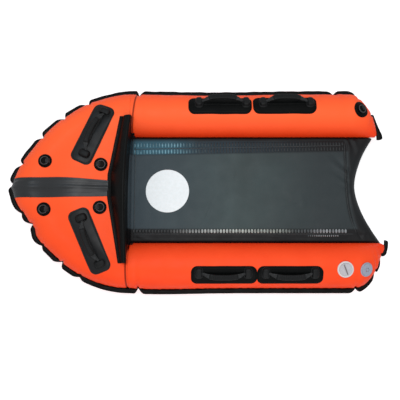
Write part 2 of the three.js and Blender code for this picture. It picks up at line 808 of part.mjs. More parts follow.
function addHandle(name, x, y, lie, length) {
  const frame = skinFrame(x, y, lie, patchWidth / 2);
  const outline = roundedOutline(length, patchWidth, patchCorner);
  const block = moved(prism(outline, -overrun, 2 * overrun, 3), frame);
  const lugs = moved(keeper(-1).add(keeper(1)), frame);
  const patch = block.intersect(layer(patchThickness)).add(lugs.subtract(topsides(clearance)));
  addPiece(`${name}_patch`, patch, blackFabric);
  const group = framedGroup(frame, pivotHeight);
  addPiece(`${name}_webbing`, handleWebbing(), webbing, group);
  addPiece(`${name}_grip`, gripSleeve(), gripRubber, group);
}

sideTubes.forEach(({ name, side }) => {
  const bowY = bowHandleOutShares[name] * outerY;
  const bowX = breakwaterFrontX(bowY) - (side > 0 ? starboardBowHandleAhead : portBowHandleAhead);
  const lie = [bowHandleLie[0], side * bowHandleLie[1]];
  addHandle(`bow_${name}_handle`, bowX, side * bowY, lie, bowPatchLength);
  const sideY = side * (tubeSpread + sideHandleOutShares[name] * tubeRadius);
  const aftX = valveX(inflationValveShares) - inflationValve.flangeRadius - handleValveGap - patchLength / 2;
  const midX = aftX - patchLength - sideHandleGap;
  addHandle(`mid_${name}_handle`, midX, sideY, [0, side], patchLength);
  addHandle(`aft_${name}_handle`, aftX, sideY, [0, side], patchLength);
});

// Lashing rings. The ring's frame has its X axis along the ring's straight bar
const ringArcSteps = 9;
const ringSides = 6;
function lashingRing() {
  const middle = ringReach - ringHalfWidth;
  const startTurn = ringBendTurn * degrees - Math.asin(middle / ringHalfWidth);
  const path = [];
  for (let k = 0; k <= ringArcSteps; k += 1) {
    const turn = startTurn + (k / ringArcSteps) * (Math.PI - 2 * startTurn);
    path.push(new THREE.Vector2(ringHalfWidth * Math.cos(turn), middle + ringHalfWidth * Math.sin(turn)));
  }
  path.push(new THREE.Vector2(-tabWidth / 2 - ringWire, 0), new THREE.Vector2(tabWidth / 2 + ringWire, 0));
  return loft(path.map((point, k) => {
    const before = path[(k + path.length - 1) % path.length];
    const after = path[(k + 1) % path.length];
    const incoming = point.clone().sub(before).normalize();
    const outgoing = after.clone().sub(point).normalize();
    const run = incoming.clone().add(outgoing).normalize();
    const aside = new THREE.Vector2(run.y, -run.x).divideScalar(Math.max(ringMitreLimit, run.dot(incoming)));
    return Array.from({ length: ringSides }, (unused, side) => {
      const turn = (side / ringSides) * 2 * Math.PI;
      const out = ringWire * Math.cos(turn);
      return new THREE.Vector3(point.x + aside.x * out, point.y + aside.y * out, ringWire * Math.sin(turn));
    });
  }), true);
}

function addRing(name, x, y, lie, diameter) {
  const frame = skinFrame(x, y, lie, diameter / 4);
  const disc = moved(prism(discOutline(diameter / 2), -overrun, 2 * overrun, 10), frame);
  addPiece(`${name}_patch`, disc.intersect(layer(ringPatchThickness)), blackFabric);
  const barFrame = frame.clone().multiply(new THREE.Matrix4().makeTranslation(0, -ringBarSetback, 0));
  const boreRadius = ringWire + clearance;
  const bore = new THREE.CylinderGeometry(boreRadius, boreRadius, 2 * tabWidth, ringSides * 2);
  bore.rotateZ(Math.PI / 2);
  bore.translate(0, 0, ringPivotHeight);
  const block = box(tabWidth, tabDepth, 2 * tabHeight).subtract(solid(bore));
  const tab = moved(block, barFrame).subtract(topsides(2 * clearance + ringPatchThickness));
  addPiece(`${name}_tab`, tab, webbing);
  addPiece(name, lashingRing(), blackPlastic, framedGroup(barFrame, ringPivotHeight));
}

sideTubes.forEach(({ name, side }) => {
  const [ahead, out] = bowRingShares[name];
  addRing(`bow_${name}_ring`, bowEndX - ahead * bowLength, side * out * outerY, [-1, 0], ringPatchDiameter);
  const y = breakwaterRingOutShare * outerY;
  const x = breakwaterFrontX(y) - breakwaterRingGap - ringPatchDiameter / 2;
  addRing(`breakwater_${name}_ring`, x, side * y, [1, 0], ringPatchDiameter);
});
const [tailRingAlong, tailRingOut] = tailRingShares;
const tailRingX = tubeEndX + tailRingAlong * tailLength;
const tailRingY = tubeSpread + tailRingOut * tubeRadius;
addRing('tail_starboard_ring', tailRingX, tailRingY, tailRingLie, tailRingPatchDiameter);

// Valves. Each stands in its own frame on the port tube, with Z out of the skin
function valveBody(valve, recessRadius) {
  const { flangeRadius, flangeHeight, barrelRadius, boreRadius, depth } = valve;
  const rim = moved(turned([
    [0, -overrun / 2], [flangeRadius, -overrun / 2], [flangeRadius, flangeHeight / 3],
    [flangeRadius - flangeHeight / 2, flangeHeight], [recessRadius, flangeHeight],
    [recessRadius, flangeHeight - capRecess], [0, flangeHeight - capRecess],
  ], roundSegments), valve.frame).subtract(topsides(clearance));
  const seat = flangeHeight - capRecess;
  const tube = [[0, -depth], [barrelRadius, -depth], [barrelRadius, seat], [0, seat]];
  const barrel = moved(turned(tube, boreSegments), valve.frame);
  const bore = moved(turned([
    [0, valveLipHeight - depth], [boreRadius, valveLipHeight - depth], [boreRadius, overrun], [0, overrun],
  ], boreSegments), valve.frame);
  const throat = moved(turned([
    [0, -depth - overrun], [boreRadius - valveLip, -depth - overrun], [boreRadius - valveLip, 0], [0, 0],
  ], boreSegments), valve.frame);
  return rim.add(barrel).subtract(bore).subtract(throat);
}

function backingNut(valve) {
  const inner = valve.barrelRadius + clearance;
  const outer = valve.barrelRadius + nutWidth;
  const bottom = -overrun / 2 - nutHeight;
  const ring = turned([[inner, bottom], [outer, bottom], [outer, 0], [inner, 0]], boreSegments);
  return moved(ring, valve.frame).intersect(tubeHollow(sideTubes[1], 1, -skinWall - clearance));
}

const springStepsPerTurn = 6;
const springSides = 4;
function coilSpring(radius, height) {
  const steps = springTurns * springStepsPerTurn;
  const path = Array.from({ length: steps + 1 }, (unused, k) => {
    const turn = (k / springStepsPerTurn) * 2 * Math.PI;
    const climb = springWire + ((height - 2 * springWire) * k) / steps;
    return new THREE.Vector3(radius * Math.cos(turn), radius * Math.sin(turn), climb);
  });
  return loft(path.map((point, k) => {
    const turn = (k / springStepsPerTurn) * 2 * Math.PI;
    return Array.from({ length: springSides }, (unused, side) => {
      const angle = (side / springSides) * 2 * Math.PI;
      const out = springWire * Math.cos(angle);
      const up = springWire * Math.sin(angle);
      return point.clone().add(new THREE.Vector3(out * Math.cos(turn), out * Math.sin(turn), up));
    });
  }));
}

function plunger(radius) {
  const stem = springWire * 3;
  return turned([
    [0, 0], [radius, 0], [radius, plungerHeight / 2], [stem, plungerHeight / 2], [stem, plungerHeight],
    [0, plungerHeight],
  ], boreSegments);
}

const capRoom = (capRadius + clearance) / Math.cos(Math.PI / roundSegments);
addPiece('inflation_valve_body', valveBody(inflationValve, capRoom), greyPlastic);
addPiece('inflation_valve_nut', backingNut(inflationValve), greyPlastic);
const inflationGroup = framedGroup(inflationValve.frame, inflationValve.flangeHeight - capRecess);
const gripBar = box(capBarLength, capBarWidth, capBarHeight + capThickness)
  .translate(0, 0, (capBarHeight + capThickness) / 2 + clearance)
  .rotate([0, 0, capBarTurn]);
const capDisc = turned([
  [0, clearance], [capRadius, clearance], [capRadius, capThickness - capEdge],
  [capRadius - capEdge, capThickness], [0, capThickness],
], roundSegments);
addPiece('inflation_valve_cap', capDisc.add(gripBar), greyPlastic, inflationGroup);
const plungerLift = -plungerTopGap - plungerHeight;
const inflationPlunger = plunger(inflationValve.boreRadius - clearance).translate(0, 0, plungerLift);
addPiece('inflation_valve_plunger', inflationPlunger, blackPlastic, inflationGroup);
const shelf = valveLipHeight - inflationValve.depth - (inflationValve.flangeHeight - capRecess) + clearance;
const inflationSpringHeight = plungerLift - clearance - shelf;
const inflationSpring = coilSpring(inflationValve.boreRadius - 2 * springWire, inflationSpringHeight);
addPiece('inflation_valve_spring', inflationSpring.translate(0, 0, shelf), steel, inflationGroup);

const vents = Array.from({ length: ventCount }, (unused, k) => {
  const turn = (k / ventCount) * 2 * Math.PI;
  const drill = [[0, -overrun], [ventRadius, -overrun], [ventRadius, overrun], [0, overrun]];
  const vent = turned(drill, ventSides);
  return vent.translate(ventCircle * Math.cos(turn), ventCircle * Math.sin(turn), 0);
});
const reliefCoverRadius = reliefValve.flangeRadius - reliefValve.flangeHeight;
addPiece('relief_valve_body', valveBody(reliefValve, reliefCoverRadius + clearance), greyPlastic);
addPiece('relief_valve_nut', backingNut(reliefValve), greyPlastic);
const reliefGroup = framedGroup(reliefValve.frame, reliefValve.flangeHeight - capRecess);
const reliefCover = turned([
  [0, clearance], [reliefCoverRadius, clearance], [reliefCoverRadius, capRecess + capEdge],
  [reliefCoverRadius - capEdge, capRecess + 2 * capEdge], [0, capRecess + 2 * capEdge],
], roundSegments);
const ventedCover = vents.reduce((cover, vent) => cover.subtract(vent), reliefCover);
addPiece('relief_valve_cover', ventedCover, greyPlastic, reliefGroup);
const reliefShelf = valveLipHeight - reliefValve.depth - (reliefValve.flangeHeight - capRecess) + clearance;
const poppet = plunger(reliefValve.boreRadius - clearance).translate(0, 0, reliefShelf);
addPiece('relief_valve_poppet', poppet, blackPlastic, reliefGroup);
const reliefSpringBase = reliefShelf + plungerHeight / 2 + clearance;
const reliefSpring = coilSpring(reliefValve.boreRadius - 2 * springWire, -reliefSpringBase);
addPiece('relief_valve_spring', reliefSpring.translate(0, 0, reliefSpringBase), steel, reliefGroup);

export default board;
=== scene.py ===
# %% [markdown]
# # An inflatable rescue board
# The board is a flat raft of welded, coated fabric: a bow chamber with a scalloped edge, two side
# tubes, and a low foam deck between them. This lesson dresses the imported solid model: each soft
# solid is replaced by a finer surface in the same place, and each surface gets a procedural
# material. Shapes are worked out in millimetres and written to Blender in metres. The bow points
# along minus x, and starboard is plus y.

import json
import math

import bmesh
import bpy
import numpy as np
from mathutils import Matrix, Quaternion, Vector
from mathutils.bvhtree import BVHTree


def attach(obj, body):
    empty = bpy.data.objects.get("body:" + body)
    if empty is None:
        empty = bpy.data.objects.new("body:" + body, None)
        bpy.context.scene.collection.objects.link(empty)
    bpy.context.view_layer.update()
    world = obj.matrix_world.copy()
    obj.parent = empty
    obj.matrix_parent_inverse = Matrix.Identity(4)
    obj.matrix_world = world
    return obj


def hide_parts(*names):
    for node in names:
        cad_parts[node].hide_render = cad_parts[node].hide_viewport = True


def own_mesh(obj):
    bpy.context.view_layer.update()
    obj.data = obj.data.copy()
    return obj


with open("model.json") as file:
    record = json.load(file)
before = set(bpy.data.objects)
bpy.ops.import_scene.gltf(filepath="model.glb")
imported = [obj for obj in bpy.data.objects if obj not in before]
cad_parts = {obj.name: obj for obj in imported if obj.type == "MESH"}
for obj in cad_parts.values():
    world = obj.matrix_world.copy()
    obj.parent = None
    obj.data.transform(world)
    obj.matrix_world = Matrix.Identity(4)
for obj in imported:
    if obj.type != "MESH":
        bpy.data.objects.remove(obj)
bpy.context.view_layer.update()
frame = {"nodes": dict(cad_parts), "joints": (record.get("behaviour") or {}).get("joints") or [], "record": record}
joints = {joint["name"]: joint for joint in frame["joints"]}

# %% [markdown]
# ## Helpers
# Every piece is made of points and faces. A grid of points gives most of them: rows along the piece,
# columns across it. A grid that closes round on itself is a loft, a solid skinned over rings. A grid
# that stays open is a sheet, and Solidify gives it a wall behind its good side.

# %% Turn points into pieces
MM, MERGE_MM = 0.001, 0.02


def make_piece(name, points, faces, material, smooth=True):
    mesh = bpy.data.meshes.new(name)
    mesh.from_pydata((np.asarray(points, float) * MM).tolist(), [], faces)
    mesh.materials.append(material)
    mesh.polygons.foreach_set("use_smooth", [smooth] * len(mesh.polygons))
    mesh.update()
    piece = bpy.data.objects.new(name, mesh)
    bpy.context.scene.collection.objects.link(piece)
    return piece


def grid_faces(rows, columns, join_rows=False, join_columns=False, start=0):
    faces = []
    for i in range(rows if join_rows else rows - 1):
        for j in range(columns if join_columns else columns - 1):
            a, b = i * columns + j, i * columns + (j + 1) % columns
            c, d = ((i + 1) % rows) * columns + (j + 1) % columns, ((i + 1) % rows) * columns + j
            faces.append((start + a, start + b, start + c, start + d))
    return faces


def tidy_mesh(piece):
    """Merges doubled points and turns the faces of a closed shape outwards."""
    body = bmesh.new()
    body.from_mesh(piece.data)
    bmesh.ops.remove_doubles(body, verts=body.verts, dist=MERGE_MM * MM)
    bmesh.ops.dissolve_degenerate(body, edges=body.edges, dist=MERGE_MM * MM / 2)
    bmesh.ops.recalc_face_normals(body, faces=body.faces)
    body.to_mesh(piece.data)
    body.free()
    return piece


def loft(name, rings, material, smooth=True, round_trip=False):
    """A solid over a grid of rings. Its ends are closed, or meet where the rings make a round trip."""
    rows, columns = rings.shape[:2]
    faces = grid_faces(rows, columns, join_rows=round_trip, join_columns=True)
    if not round_trip:
        faces += [tuple(range(columns))[::-1], tuple((rows - 1) * columns + j for j in range(columns))]
    return tidy_mesh(make_piece(name, rings.reshape(-1, 3), faces, material, smooth))


def sheet(name, grid, material, direction, thickness_mm, join_columns=False, closed_tip=False):
    """A sheet over a grid of points, with its good side in the given direction and its wall behind.

    A closed tip joins the last row of points to its own middle.
    """
    rows, columns = grid.shape[:2]
    points = grid.reshape(-1, 3).tolist()
    faces = grid_faces(rows, columns, join_columns=join_columns)
    if closed_tip:
        points.append(grid[-1].mean(0).tolist())
        last = (rows - 1) * columns
        faces += [(last + j, last + j + 1, len(points) - 1) for j in range(columns - 1)]
    piece = tidy_mesh(make_piece(name, points, faces, material))
    total = sum((face.normal * face.area for face in piece.data.polygons), Vector())
    if total.dot(Vector(direction)) < 0:
        piece.data.flip_normals()
    add_modifier(piece, "SOLIDIFY", thickness=thickness_mm * MM, offset=-1.0)
    return piece


def add_modifier(piece, kind, **settings):
    modifier = piece.modifiers.new(kind.title(), kind)
    for key, value in settings.items():
        setattr(modifier, key, value)


def dress(piece, body, slot, *nodes):
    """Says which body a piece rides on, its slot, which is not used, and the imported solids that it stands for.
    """
    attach(piece, body)
    if nodes:
        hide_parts(*nodes)
    return piece


def unit(vectors):
    """A vector, or each vector along the last axis, made one long."""
    return vectors / np.maximum(np.linalg.norm(vectors, axis=-1, keepdims=True), 1e-9)


def grid_normals(grid, side=1):
    """The direction square to a grid at each of its points, mostly up, or mostly down for side -1."""
    normals = unit(np.cross(np.gradient(grid, axis=0), np.gradient(grid, axis=1)))
    return normals * np.sign(side * normals[:, :, 2].sum())


def dip(value, place, width):
    """One at a place, and less on both sides of it, as a soft dent or a soft ridge."""
    return np.exp(-((value - place) / width) ** 2)


# %% [markdown]
# ## The camera
# The photo was taken from almost straight above, a little from the port side, from about two and a
# half metres away. The camera's place follows from how the round badge and the tubes foreshorten.

# %% Place the camera
camera_data = bpy.data.cameras.new("camera")
camera_data.sensor_width = 36
camera_data.lens = 49.0
camera = bpy.data.objects.new("camera", camera_data)
bpy.context.scene.collection.objects.link(camera)
eye = Vector((0.009, -0.388, 2.526))
target = Vector((0.009, -0.047, 0.100))
camera.location = eye
camera.rotation_euler = (target - eye).to_track_quat("-Z", "Y").to_euler()
bpy.context.scene.camera = camera
print("camera", round((target - eye).length, 3), "m away")

# %% [markdown]
# ## Light and floor
# A studio cut-out has soft light from all round and a little more from above. The world gives the
# even part, and one wide lamp overhead, a little to starboard, gives the tubes their brighter tops. A
# second wide lamp, low on the port side, lights that flank of the board. A small cool lamp stands
# where the front of the deck mirrors it, as a window does in the photo. The background is white for
# camera rays and reflections alone, and the floor glows for camera rays alone, so that neither adds
# diffuse light to the board. One function adds a node to a tree, with its settings and its inputs.

# %% Light the scene
scene = bpy.context.scene
scene.view_settings.view_transform = "Standard"


def to_linear(hex_colour):
    channels = [int(hex_colour[k:k + 2], 16) / 255 for k in (1, 3, 5)]
    linear = [c / 12.92 if c <= 0.04045 else ((c + 0.055) / 1.055) ** 2.4 for c in channels]
    return (*linear, 1.0)


def fill_inputs(tree, node, inputs):
    """Links or sets a node's inputs. They come in order, or by name or number in a dictionary."""
    pairs = inputs.items() if isinstance(inputs, dict) else enumerate(inputs)
    for socket, source in pairs:
        if isinstance(source, bpy.types.NodeSocket):
            tree.links.new(source, node.inputs[socket])
        else:
            node.inputs[socket].default_value = to_linear(source) if isinstance(source, str) else source


def add_node(tree, kind, inputs=(), output=0, **settings):
    """Adds a node and returns one of its outputs. A shader node's kind is given without its prefix."""
    node = tree.nodes.new(kind if "Node" in kind else "ShaderNode" + kind)
    for key, value in settings.items():
        setattr(node, key, value)
    fill_inputs(tree, node, inputs)
    return node.outputs[output] if len(node.outputs) else None


def empty_tree(owner):
    owner.use_nodes = True
    owner.node_tree.nodes.clear()
    return owner.node_tree


world = bpy.data.worlds.new("studio")
scene.world = world
sky = empty_tree(world)
rays = add_node(sky, "LightPath").node.outputs
seen = add_node(sky, "Math", (rays["Is Camera Ray"], rays["Is Glossy Ray"]), operation="MAXIMUM")
seen = add_node(sky, "Math", (seen, rays["Is Transmission Ray"]), operation="MAXIMUM")
soft = add_node(sky, "Background", {"Color": "#F4F7FA", "Strength": 0.76})
plain = add_node(sky, "Background", {"Color": "#FFFFFF", "Strength": 1.0})
add_node(sky, "OutputWorld", {"Surface": add_node(sky, "MixShader", (seen, soft, plain))})


def add_lamp(name, place, aim, size, power, colour="#FFFFFF"):
    lamp = bpy.data.lights.new(name, "AREA")
    lamp.color = to_linear(colour)[:3]
    lamp.shape = "DISK"
    lamp.size = size
    lamp.energy = power
    piece = bpy.data.objects.new(name, lamp)
    piece.location = place
    piece.rotation_euler = (Vector(aim) - Vector(place)).to_track_quat("-Z", "Y").to_euler()
    scene.collection.objects.link(piece)


add_lamp("overhead", (0.1, 0.3, 3.0), (0, 0, 0.1), 1.8, 34)
add_lamp("port_fill", (0.15, -1.9, 1.5), (0.1, 0.3, 0.15), 1.4, 12)
add_lamp("cool_window", (-0.62, 0.98, 2.6), (-0.2, 0.19, 0.1), 0.45, 3.0, "#7FD0FF")

FLOOR_HALF_SIZE, FLOOR_LEVEL = 9000, -0.5
floor_material = bpy.data.materials.new("studio_floor")
tree = empty_tree(floor_material)
camera_ray = add_node(tree, "LightPath", output="Is Camera Ray")
paper = add_node(tree, "BsdfDiffuse", {"Color": (0.8, 0.8, 0.8, 1)})
glow = add_node(tree, "Emission", {"Color": "#FFFFFF", "Strength": 0.46})
shown = add_node(tree, "AddShader", (paper, glow))
add_node(tree, "OutputMaterial", {"Surface": add_node(tree, "MixShader", (camera_ray, paper, shown))})
square = ((-1, -1), (1, -1), (1, 1), (-1, 1))
corners = [(x * FLOOR_HALF_SIZE, y * FLOOR_HALF_SIZE, FLOOR_LEVEL) for x, y in square]
make_piece("studio_floor", corners, [(0, 1, 2, 3)], floor_material)
print("lamps", len(bpy.data.lights))

# %% [markdown]
# ## Coated fabric
# The skins are polyester cloth coated with PVC, cut flat and welded. To the eye that is a smooth
# plastic skin with a soft, wide highlight, a faint print of the threads below it, and slow changes in
# tone where the sheet was stretched. The threads are about one millimetre apart, too fine for a camera
# that sees four and a half millimetres in one pixel. The print is drawn about nineteen millimetres
# apart, so close up it shows soft bands and not threads. All patterns read Object coordinates, in metres, and a noise's scale is one divided by
# the size of the thing drawn. Most tints are one colour laid over another by a product of shares.

# %% Mix a coated fabric
WAVE_PERIOD = 0.314    # metres from band to band in a wave texture of scale one
FABRIC_PRINT, WEBBING_PRINT = 18.8496, 15.708


def new_material(name):
    """An empty material, its tree, its shader, and the place on the object."""
    material = bpy.data.materials.new(name)
    tree = empty_tree(material)
    shader = add_node(tree, "BsdfPrincipled")
    add_node(tree, "OutputMaterial", {"Surface": shader})
    return material, tree, shader.node, add_node(tree, "TexCoord", output="Object")


def patches(place, size_mm, detail=2.0):
    """Inputs for a noise with soft patches of about the given size."""
    return {"Vector": place, "Scale": 1 / (size_mm * MM), "Detail": detail}


def product(tree, *limits):
    """Multiplies shares. A limit is a share, or a value with the places where its share is 0 and 1."""
    share = None
    for limit in limits:
        if isinstance(limit, tuple):
            limit = add_node(tree, "MapRange", limit)
        share = limit if share is None else add_node(tree, "Math", (share, limit), operation="MULTIPLY")
    return share


def tint(tree, under, over, *limits):
    """Lays one colour over another where all the limits let it show."""
    return add_node(tree, "Mix", {0: product(tree, *limits), 6: under, 7: over}, 2, data_type="RGBA")


def uneven_roughness(tree, place, size_mm, middle, spread=0.05):
    grain = add_node(tree, "TexNoise", patches(place, size_mm))
    return add_node(tree, "MapRange", (grain, 0.3, 0.7, middle - spread, middle + spread))


def thread_print(tree, place, pitch_mm):
    """Two sets of threads at right angles, seen through the coating."""
    settings = {"Vector": place, "Scale": WAVE_PERIOD / (pitch_mm * MM), "Distortion": 0.0}
    waves = [add_node(tree, "TexWave", settings, 1, bands_direction=axis) for axis in ("X", "Y")]
    return product(tree, *waves)


def fabric_relief(tree, place, waves, wave_size, wave_detail, wave_height, threads):
    """Slow waves, with the print of the threads on them. The heights are in millimetres."""
    slow = add_node(tree, "TexNoise", patches(place, wave_size, wave_detail))
    low = add_node(tree, "Bump", {"Strength": waves, "Distance": wave_height * MM, "Height": slow})
    return add_node(tree, "Bump", {"Strength": threads, "Distance": 0.4 * MM,
                                   "Height": thread_print(tree, place, FABRIC_PRINT), "Normal": low})


def painted_light_and_shade(tree, place, colour, painted_top_light):
    """The orange skin's colour with painted light on the chambers' tops and painted shade in the tuck."""
    x, y, z = add_node(tree, "SeparateXYZ", (place,)).node.outputs
    # painted light: the tops of the chambers are a little lighter, more so to starboard
    colour = tint(tree, colour, painted_top_light, (z, 0.13, 0.205), (y, -0.4, 0.3, 0.2, 1.0))
    # painted shade in the tuck where the bow meets the tubes, which runs aslant
    off = x
    for slant in ((y, 0.21, 0.438, 0.3, 0.2748), (y, -0.3, -0.24, 0.009, 0.0)):
        off = add_node(tree, "Math", (off, add_node(tree, "MapRange", slant)), operation="ADD")
    off = add_node(tree, "Math", (off,), operation="ABSOLUTE")
    return tint(tree, colour, "#4A0E06", (off, 0.0015, 0.0055, 0.8, 0.0), (z, 0.1, 0.115))


def coated_fabric(name, colour, deeper, roughness, shine, unevenness=0.3, painted_top_light=None):
    material, tree, surface, place = new_material(name)
    tone = add_node(tree, "TexNoise", patches(place, 110, 3))
    colour = tint(tree, deeper, colour, (tone, 0.35, 0.65))
    if painted_top_light:
        colour = painted_light_and_shade(tree, place, colour, painted_top_light)
    fill_inputs(tree, surface, {"Base Color": colour, "IOR": 1.5, "Specular IOR Level": shine,
                                "Roughness": uneven_roughness(tree, place, 45, roughness),
                                "Normal": fabric_relief(tree, place, unevenness, 70, 2, 4, 0.12)})
    return material


# the last colour is painted light for the tops of the chambers
orange_skin = coated_fabric("orange_pvc_coated_polyester", "#EC3F14", "#E83A11", 0.5, 0.12, painted_top_light="#FD6030")
black_skin = coated_fabric("black_pvc_coated_polyester", "#060707", "#050606", 0.42, 0.08, unevenness=0.35)
print("coated fabrics", orange_skin.name, black_skin.name)

# %% [markdown]
# ## Deck fabric
# The deck's middle panel is a dark grey-green sheet, lighter than the black band round it, because it
# is matt and catches the light from above. The band starts where the panel is welded down, along a
# line that runs slightly aslant to starboard. One material holds both: the place, in Object
# coordinates, chooses the colour. The panel is bluer at the front, a painted cool reflection, and
# darker at the rear, with painted shade in the groove along its rear fold. The band has a painted
# bluish reflection to starboard, and at the front there a stronger painted cool reflection.

# %% Mix the deck fabric
PANEL_PORT, PANEL_STARBOARD, ROW_SLANT = -179.0, 161.0, 0.0188
PANEL_REAR, REAR_BEND, BEND_START, BEND_RUN = 673.0, 32.0, 60.0, 240.0


def panel_rear(y):
    """The fold that ends the panel, which bends away on the port side."""
    return PANEL_REAR + REAR_BEND * np.clip((BEND_START - y) / BEND_RUN, 0, 1.2) ** 3


def behind_panel(tree, x, y):
    """The same fold in nodes: how far a place is behind it, in metres."""
    bend = y
    for operation, *values in (("MULTIPLY_ADD", -1 / (BEND_RUN * MM), BEND_START / BEND_RUN), ("MAXIMUM", 0.0),
                               ("POWER", 3.0), ("MULTIPLY_ADD", REAR_BEND * MM, PANEL_REAR * MM)):
        bend = add_node(tree, "Math", (bend, *values), operation=operation)
    return add_node(tree, "Math", (x, bend), operation="SUBTRACT")


def deck_fabric():
    material, tree, surface, place = new_material("grey_pvc_deck_sheet")
    x, y, _ = add_node(tree, "SeparateXYZ", (place,)).node.outputs
    slanted = add_node(tree, "Math", (x, -ROW_SLANT, y), operation="MULTIPLY_ADD")
    behind = behind_panel(tree, x, y)
    edge, port_edge = PANEL_STARBOARD * MM, PANEL_PORT * MM
    tone = add_node(tree, "TexNoise", patches(place, 160, 4))
    panel = tint(tree, "#323C3C", "#384444", (tone, 0.35, 0.65))
    # painted cool reflection: the front of the panel is bluer
    panel = tint(tree, panel, "#2F3A40", (x, 0.2, -0.3))
    panel = tint(tree, panel, "#272E30", (x, 0.15, 0.55))
    # painted shade in the groove along the panel's rear fold
    groove = add_node(tree, "Math", (behind, 0.007), operation="ADD")
    groove = add_node(tree, "Math", (groove,), operation="ABSOLUTE")
    panel = tint(tree, panel, "#090B0C", (groove, 0.012, 0.003, 0.0, 0.75), (y, -0.17, -0.13))
    colour = tint(tree, "#08090B", panel, (slanted, edge + 0.004, edge - 0.004),
                  (y, port_edge - 0.004, port_edge + 0.004), (behind, 0.012, 0.002))
    # the roll behind the panel, a painted bluish reflection on the starboard band, and a stronger painted cool
    # reflection at its front
    aside = add_node(tree, "Math", (y,), operation="ABSOLUTE")
    colour = tint(tree, colour, "#0F1315", (behind, 0.002, 0.012), (aside, 0.2, 0.1))
    colour = tint(tree, colour, "#1D2D35", (slanted, edge - 0.002, edge + 0.006), (y, 0.226, 0.214),
                  (x, 0.56, 0.1))
    colour = tint(tree, colour, "#2C5361", (x, 0.0, -0.14), (slanted, edge - 0.002, edge + 0.008),
                  (y, 0.232, 0.212), (x, -0.296, -0.284))
    fill_inputs(tree, surface, {"Base Color": colour, "Roughness": uneven_roughness(tree, place, 60, 0.51),
                                "Normal": fabric_relief(tree, place, 0.45, 90, 3, 5, 0.15),
                                "Specular IOR Level": 0.18})
    return material


deck_sheet = deck_fabric()
print("deck fabric", deck_sheet.name)

# %% [markdown]
# Along each row the deck's ribs run from dull black to light grey, and to a cool grey at the front of
# the starboard row: painted glints, and a painted cool reflection. A colour ramp along the board holds
# each row's painted glints.

# %% Mix the painted glints of the weld ribs
# painted glints and a painted cool reflection, as colours along each row
ROW_GLINTS = {
    "port": ((0.0, "#15181A"), (0.17, "#1B1E20"), (0.24, "#6C706F"), (0.33, "#A0A5A2"), (0.5, "#A6ACA5"),
             (0.66, "#858C85"), (0.73, "#3C4242"), (0.79, "#3C4143"), (0.84, "#85888A"), (0.96, "#7A7E80")),
    "starboard": ((0.0, "#5E8A99"), (0.2, "#6A95A2"), (0.28, "#42555C"), (0.36, "#23282B"), (1.0, "#14181A")),
}


def weld_fabric():
    material, tree, surface, place = new_material("pvc_weld_painted_glints")
    x, y, _ = add_node(tree, "SeparateXYZ", (place,)).node.outputs
    along = add_node(tree, "MapRange", (x, -0.3, 0.7))
    rows = []
    for glint_stops in ROW_GLINTS.values():
        rows.append(add_node(tree, "ValToRGB", (along,)))
        stops = rows[-1].node.color_ramp.elements
        while len(stops) < len(glint_stops):
            stops.new(0.5)
        for stop, (share, colour) in zip(stops, glint_stops):
            stop.position, stop.color = share, to_linear(colour)
    colour = tint(tree, *rows, (y, -0.01, 0.01))
    # a noise breaks the painted glints into patches
    glint_patches = add_node(tree, "TexNoise", patches(place, 24, 3))
    glint_share = add_node(tree, "MapRange", (glint_patches, 0.36, 0.6))
    glint_mix = add_node(tree, "Math", (glint_share, 0.55, 0.45), operation="MULTIPLY_ADD")
    fill_inputs(tree, surface, {"Base Color": tint(tree, "#1A1D1F", colour, glint_mix),
                                "Roughness": add_node(tree, "MapRange", (glint_share, 0.0, 1.0, 0.55, 0.4)),
                                "Specular IOR Level": 0.3})
    return material


# the weld ribs' colour holds painted glints
weld_glints = weld_fabric()
print("weld", weld_glints.name)

# %% [markdown]
# ## Rubber, webbing, plastics and the rest
# The grips and keepers are moulded rubber, matt with a fine speckle. The straps are woven nylon with a
# soft sheen along the threads: their weave is drawn aslant and about sixteen millimetres apart, far
# coarser than the real one. The valves are injection-moulded ABS, smooth and pale grey, with a
# finger bar coloured darker as painted shade, and a bluer relief valve. The rings are black nylon.
# The badge is vinyl film, left bare. The springs are drawn steel wire.

# %% Mix the small materials
def speckled(name, colour, roughness, grain_mm, depth_mm, strength, deeper=None, shine=0.5):
    """A moulded, filmed or foamed surface, with one grain in its tone and its height."""
    material, tree, surface, place = new_material(name)
    grain = add_node(tree, "TexNoise", patches(place, grain_mm, 3))
    fill_inputs(tree, surface, {
        "Base Color": tint(tree, deeper or colour, colour, (grain, 0.35, 0.65)),
        "Roughness": uneven_roughness(tree, place, grain_mm * 8, roughness),
        "Normal": add_node(tree, "Bump", {"Strength": strength, "Distance": depth_mm * MM, "Height": grain}),
        "Specular IOR Level": shine})
    return material


def woven_nylon():
    material, tree, surface, place = new_material("black_nylon_webbing")
    aslant = add_node(tree, "Mapping", {"Vector": place, "Rotation": (0, 0, math.radians(45))})
    weave = thread_print(tree, aslant, WEBBING_PRINT)
    fill_inputs(tree, surface, {
        "Base Color": tint(tree, "#0E0F10", "#1E2022", weave),
        "Normal": add_node(tree, "Bump", {"Strength": 0.6, "Distance": 0.6 * MM, "Height": weave}),
        "Roughness": 0.62, "Sheen Weight": 0.12, "Specular IOR Level": 0.25})
    return material


def drawn_steel():
    material, tree, surface, place = new_material("drawn_spring_steel")
    fill_inputs(tree, surface, {"Base Color": "#C4C6C8", "Metallic": 1.0,
                                "Roughness": uneven_roughness(tree, place, 0.8, 0.28, 0.06)})
    return material


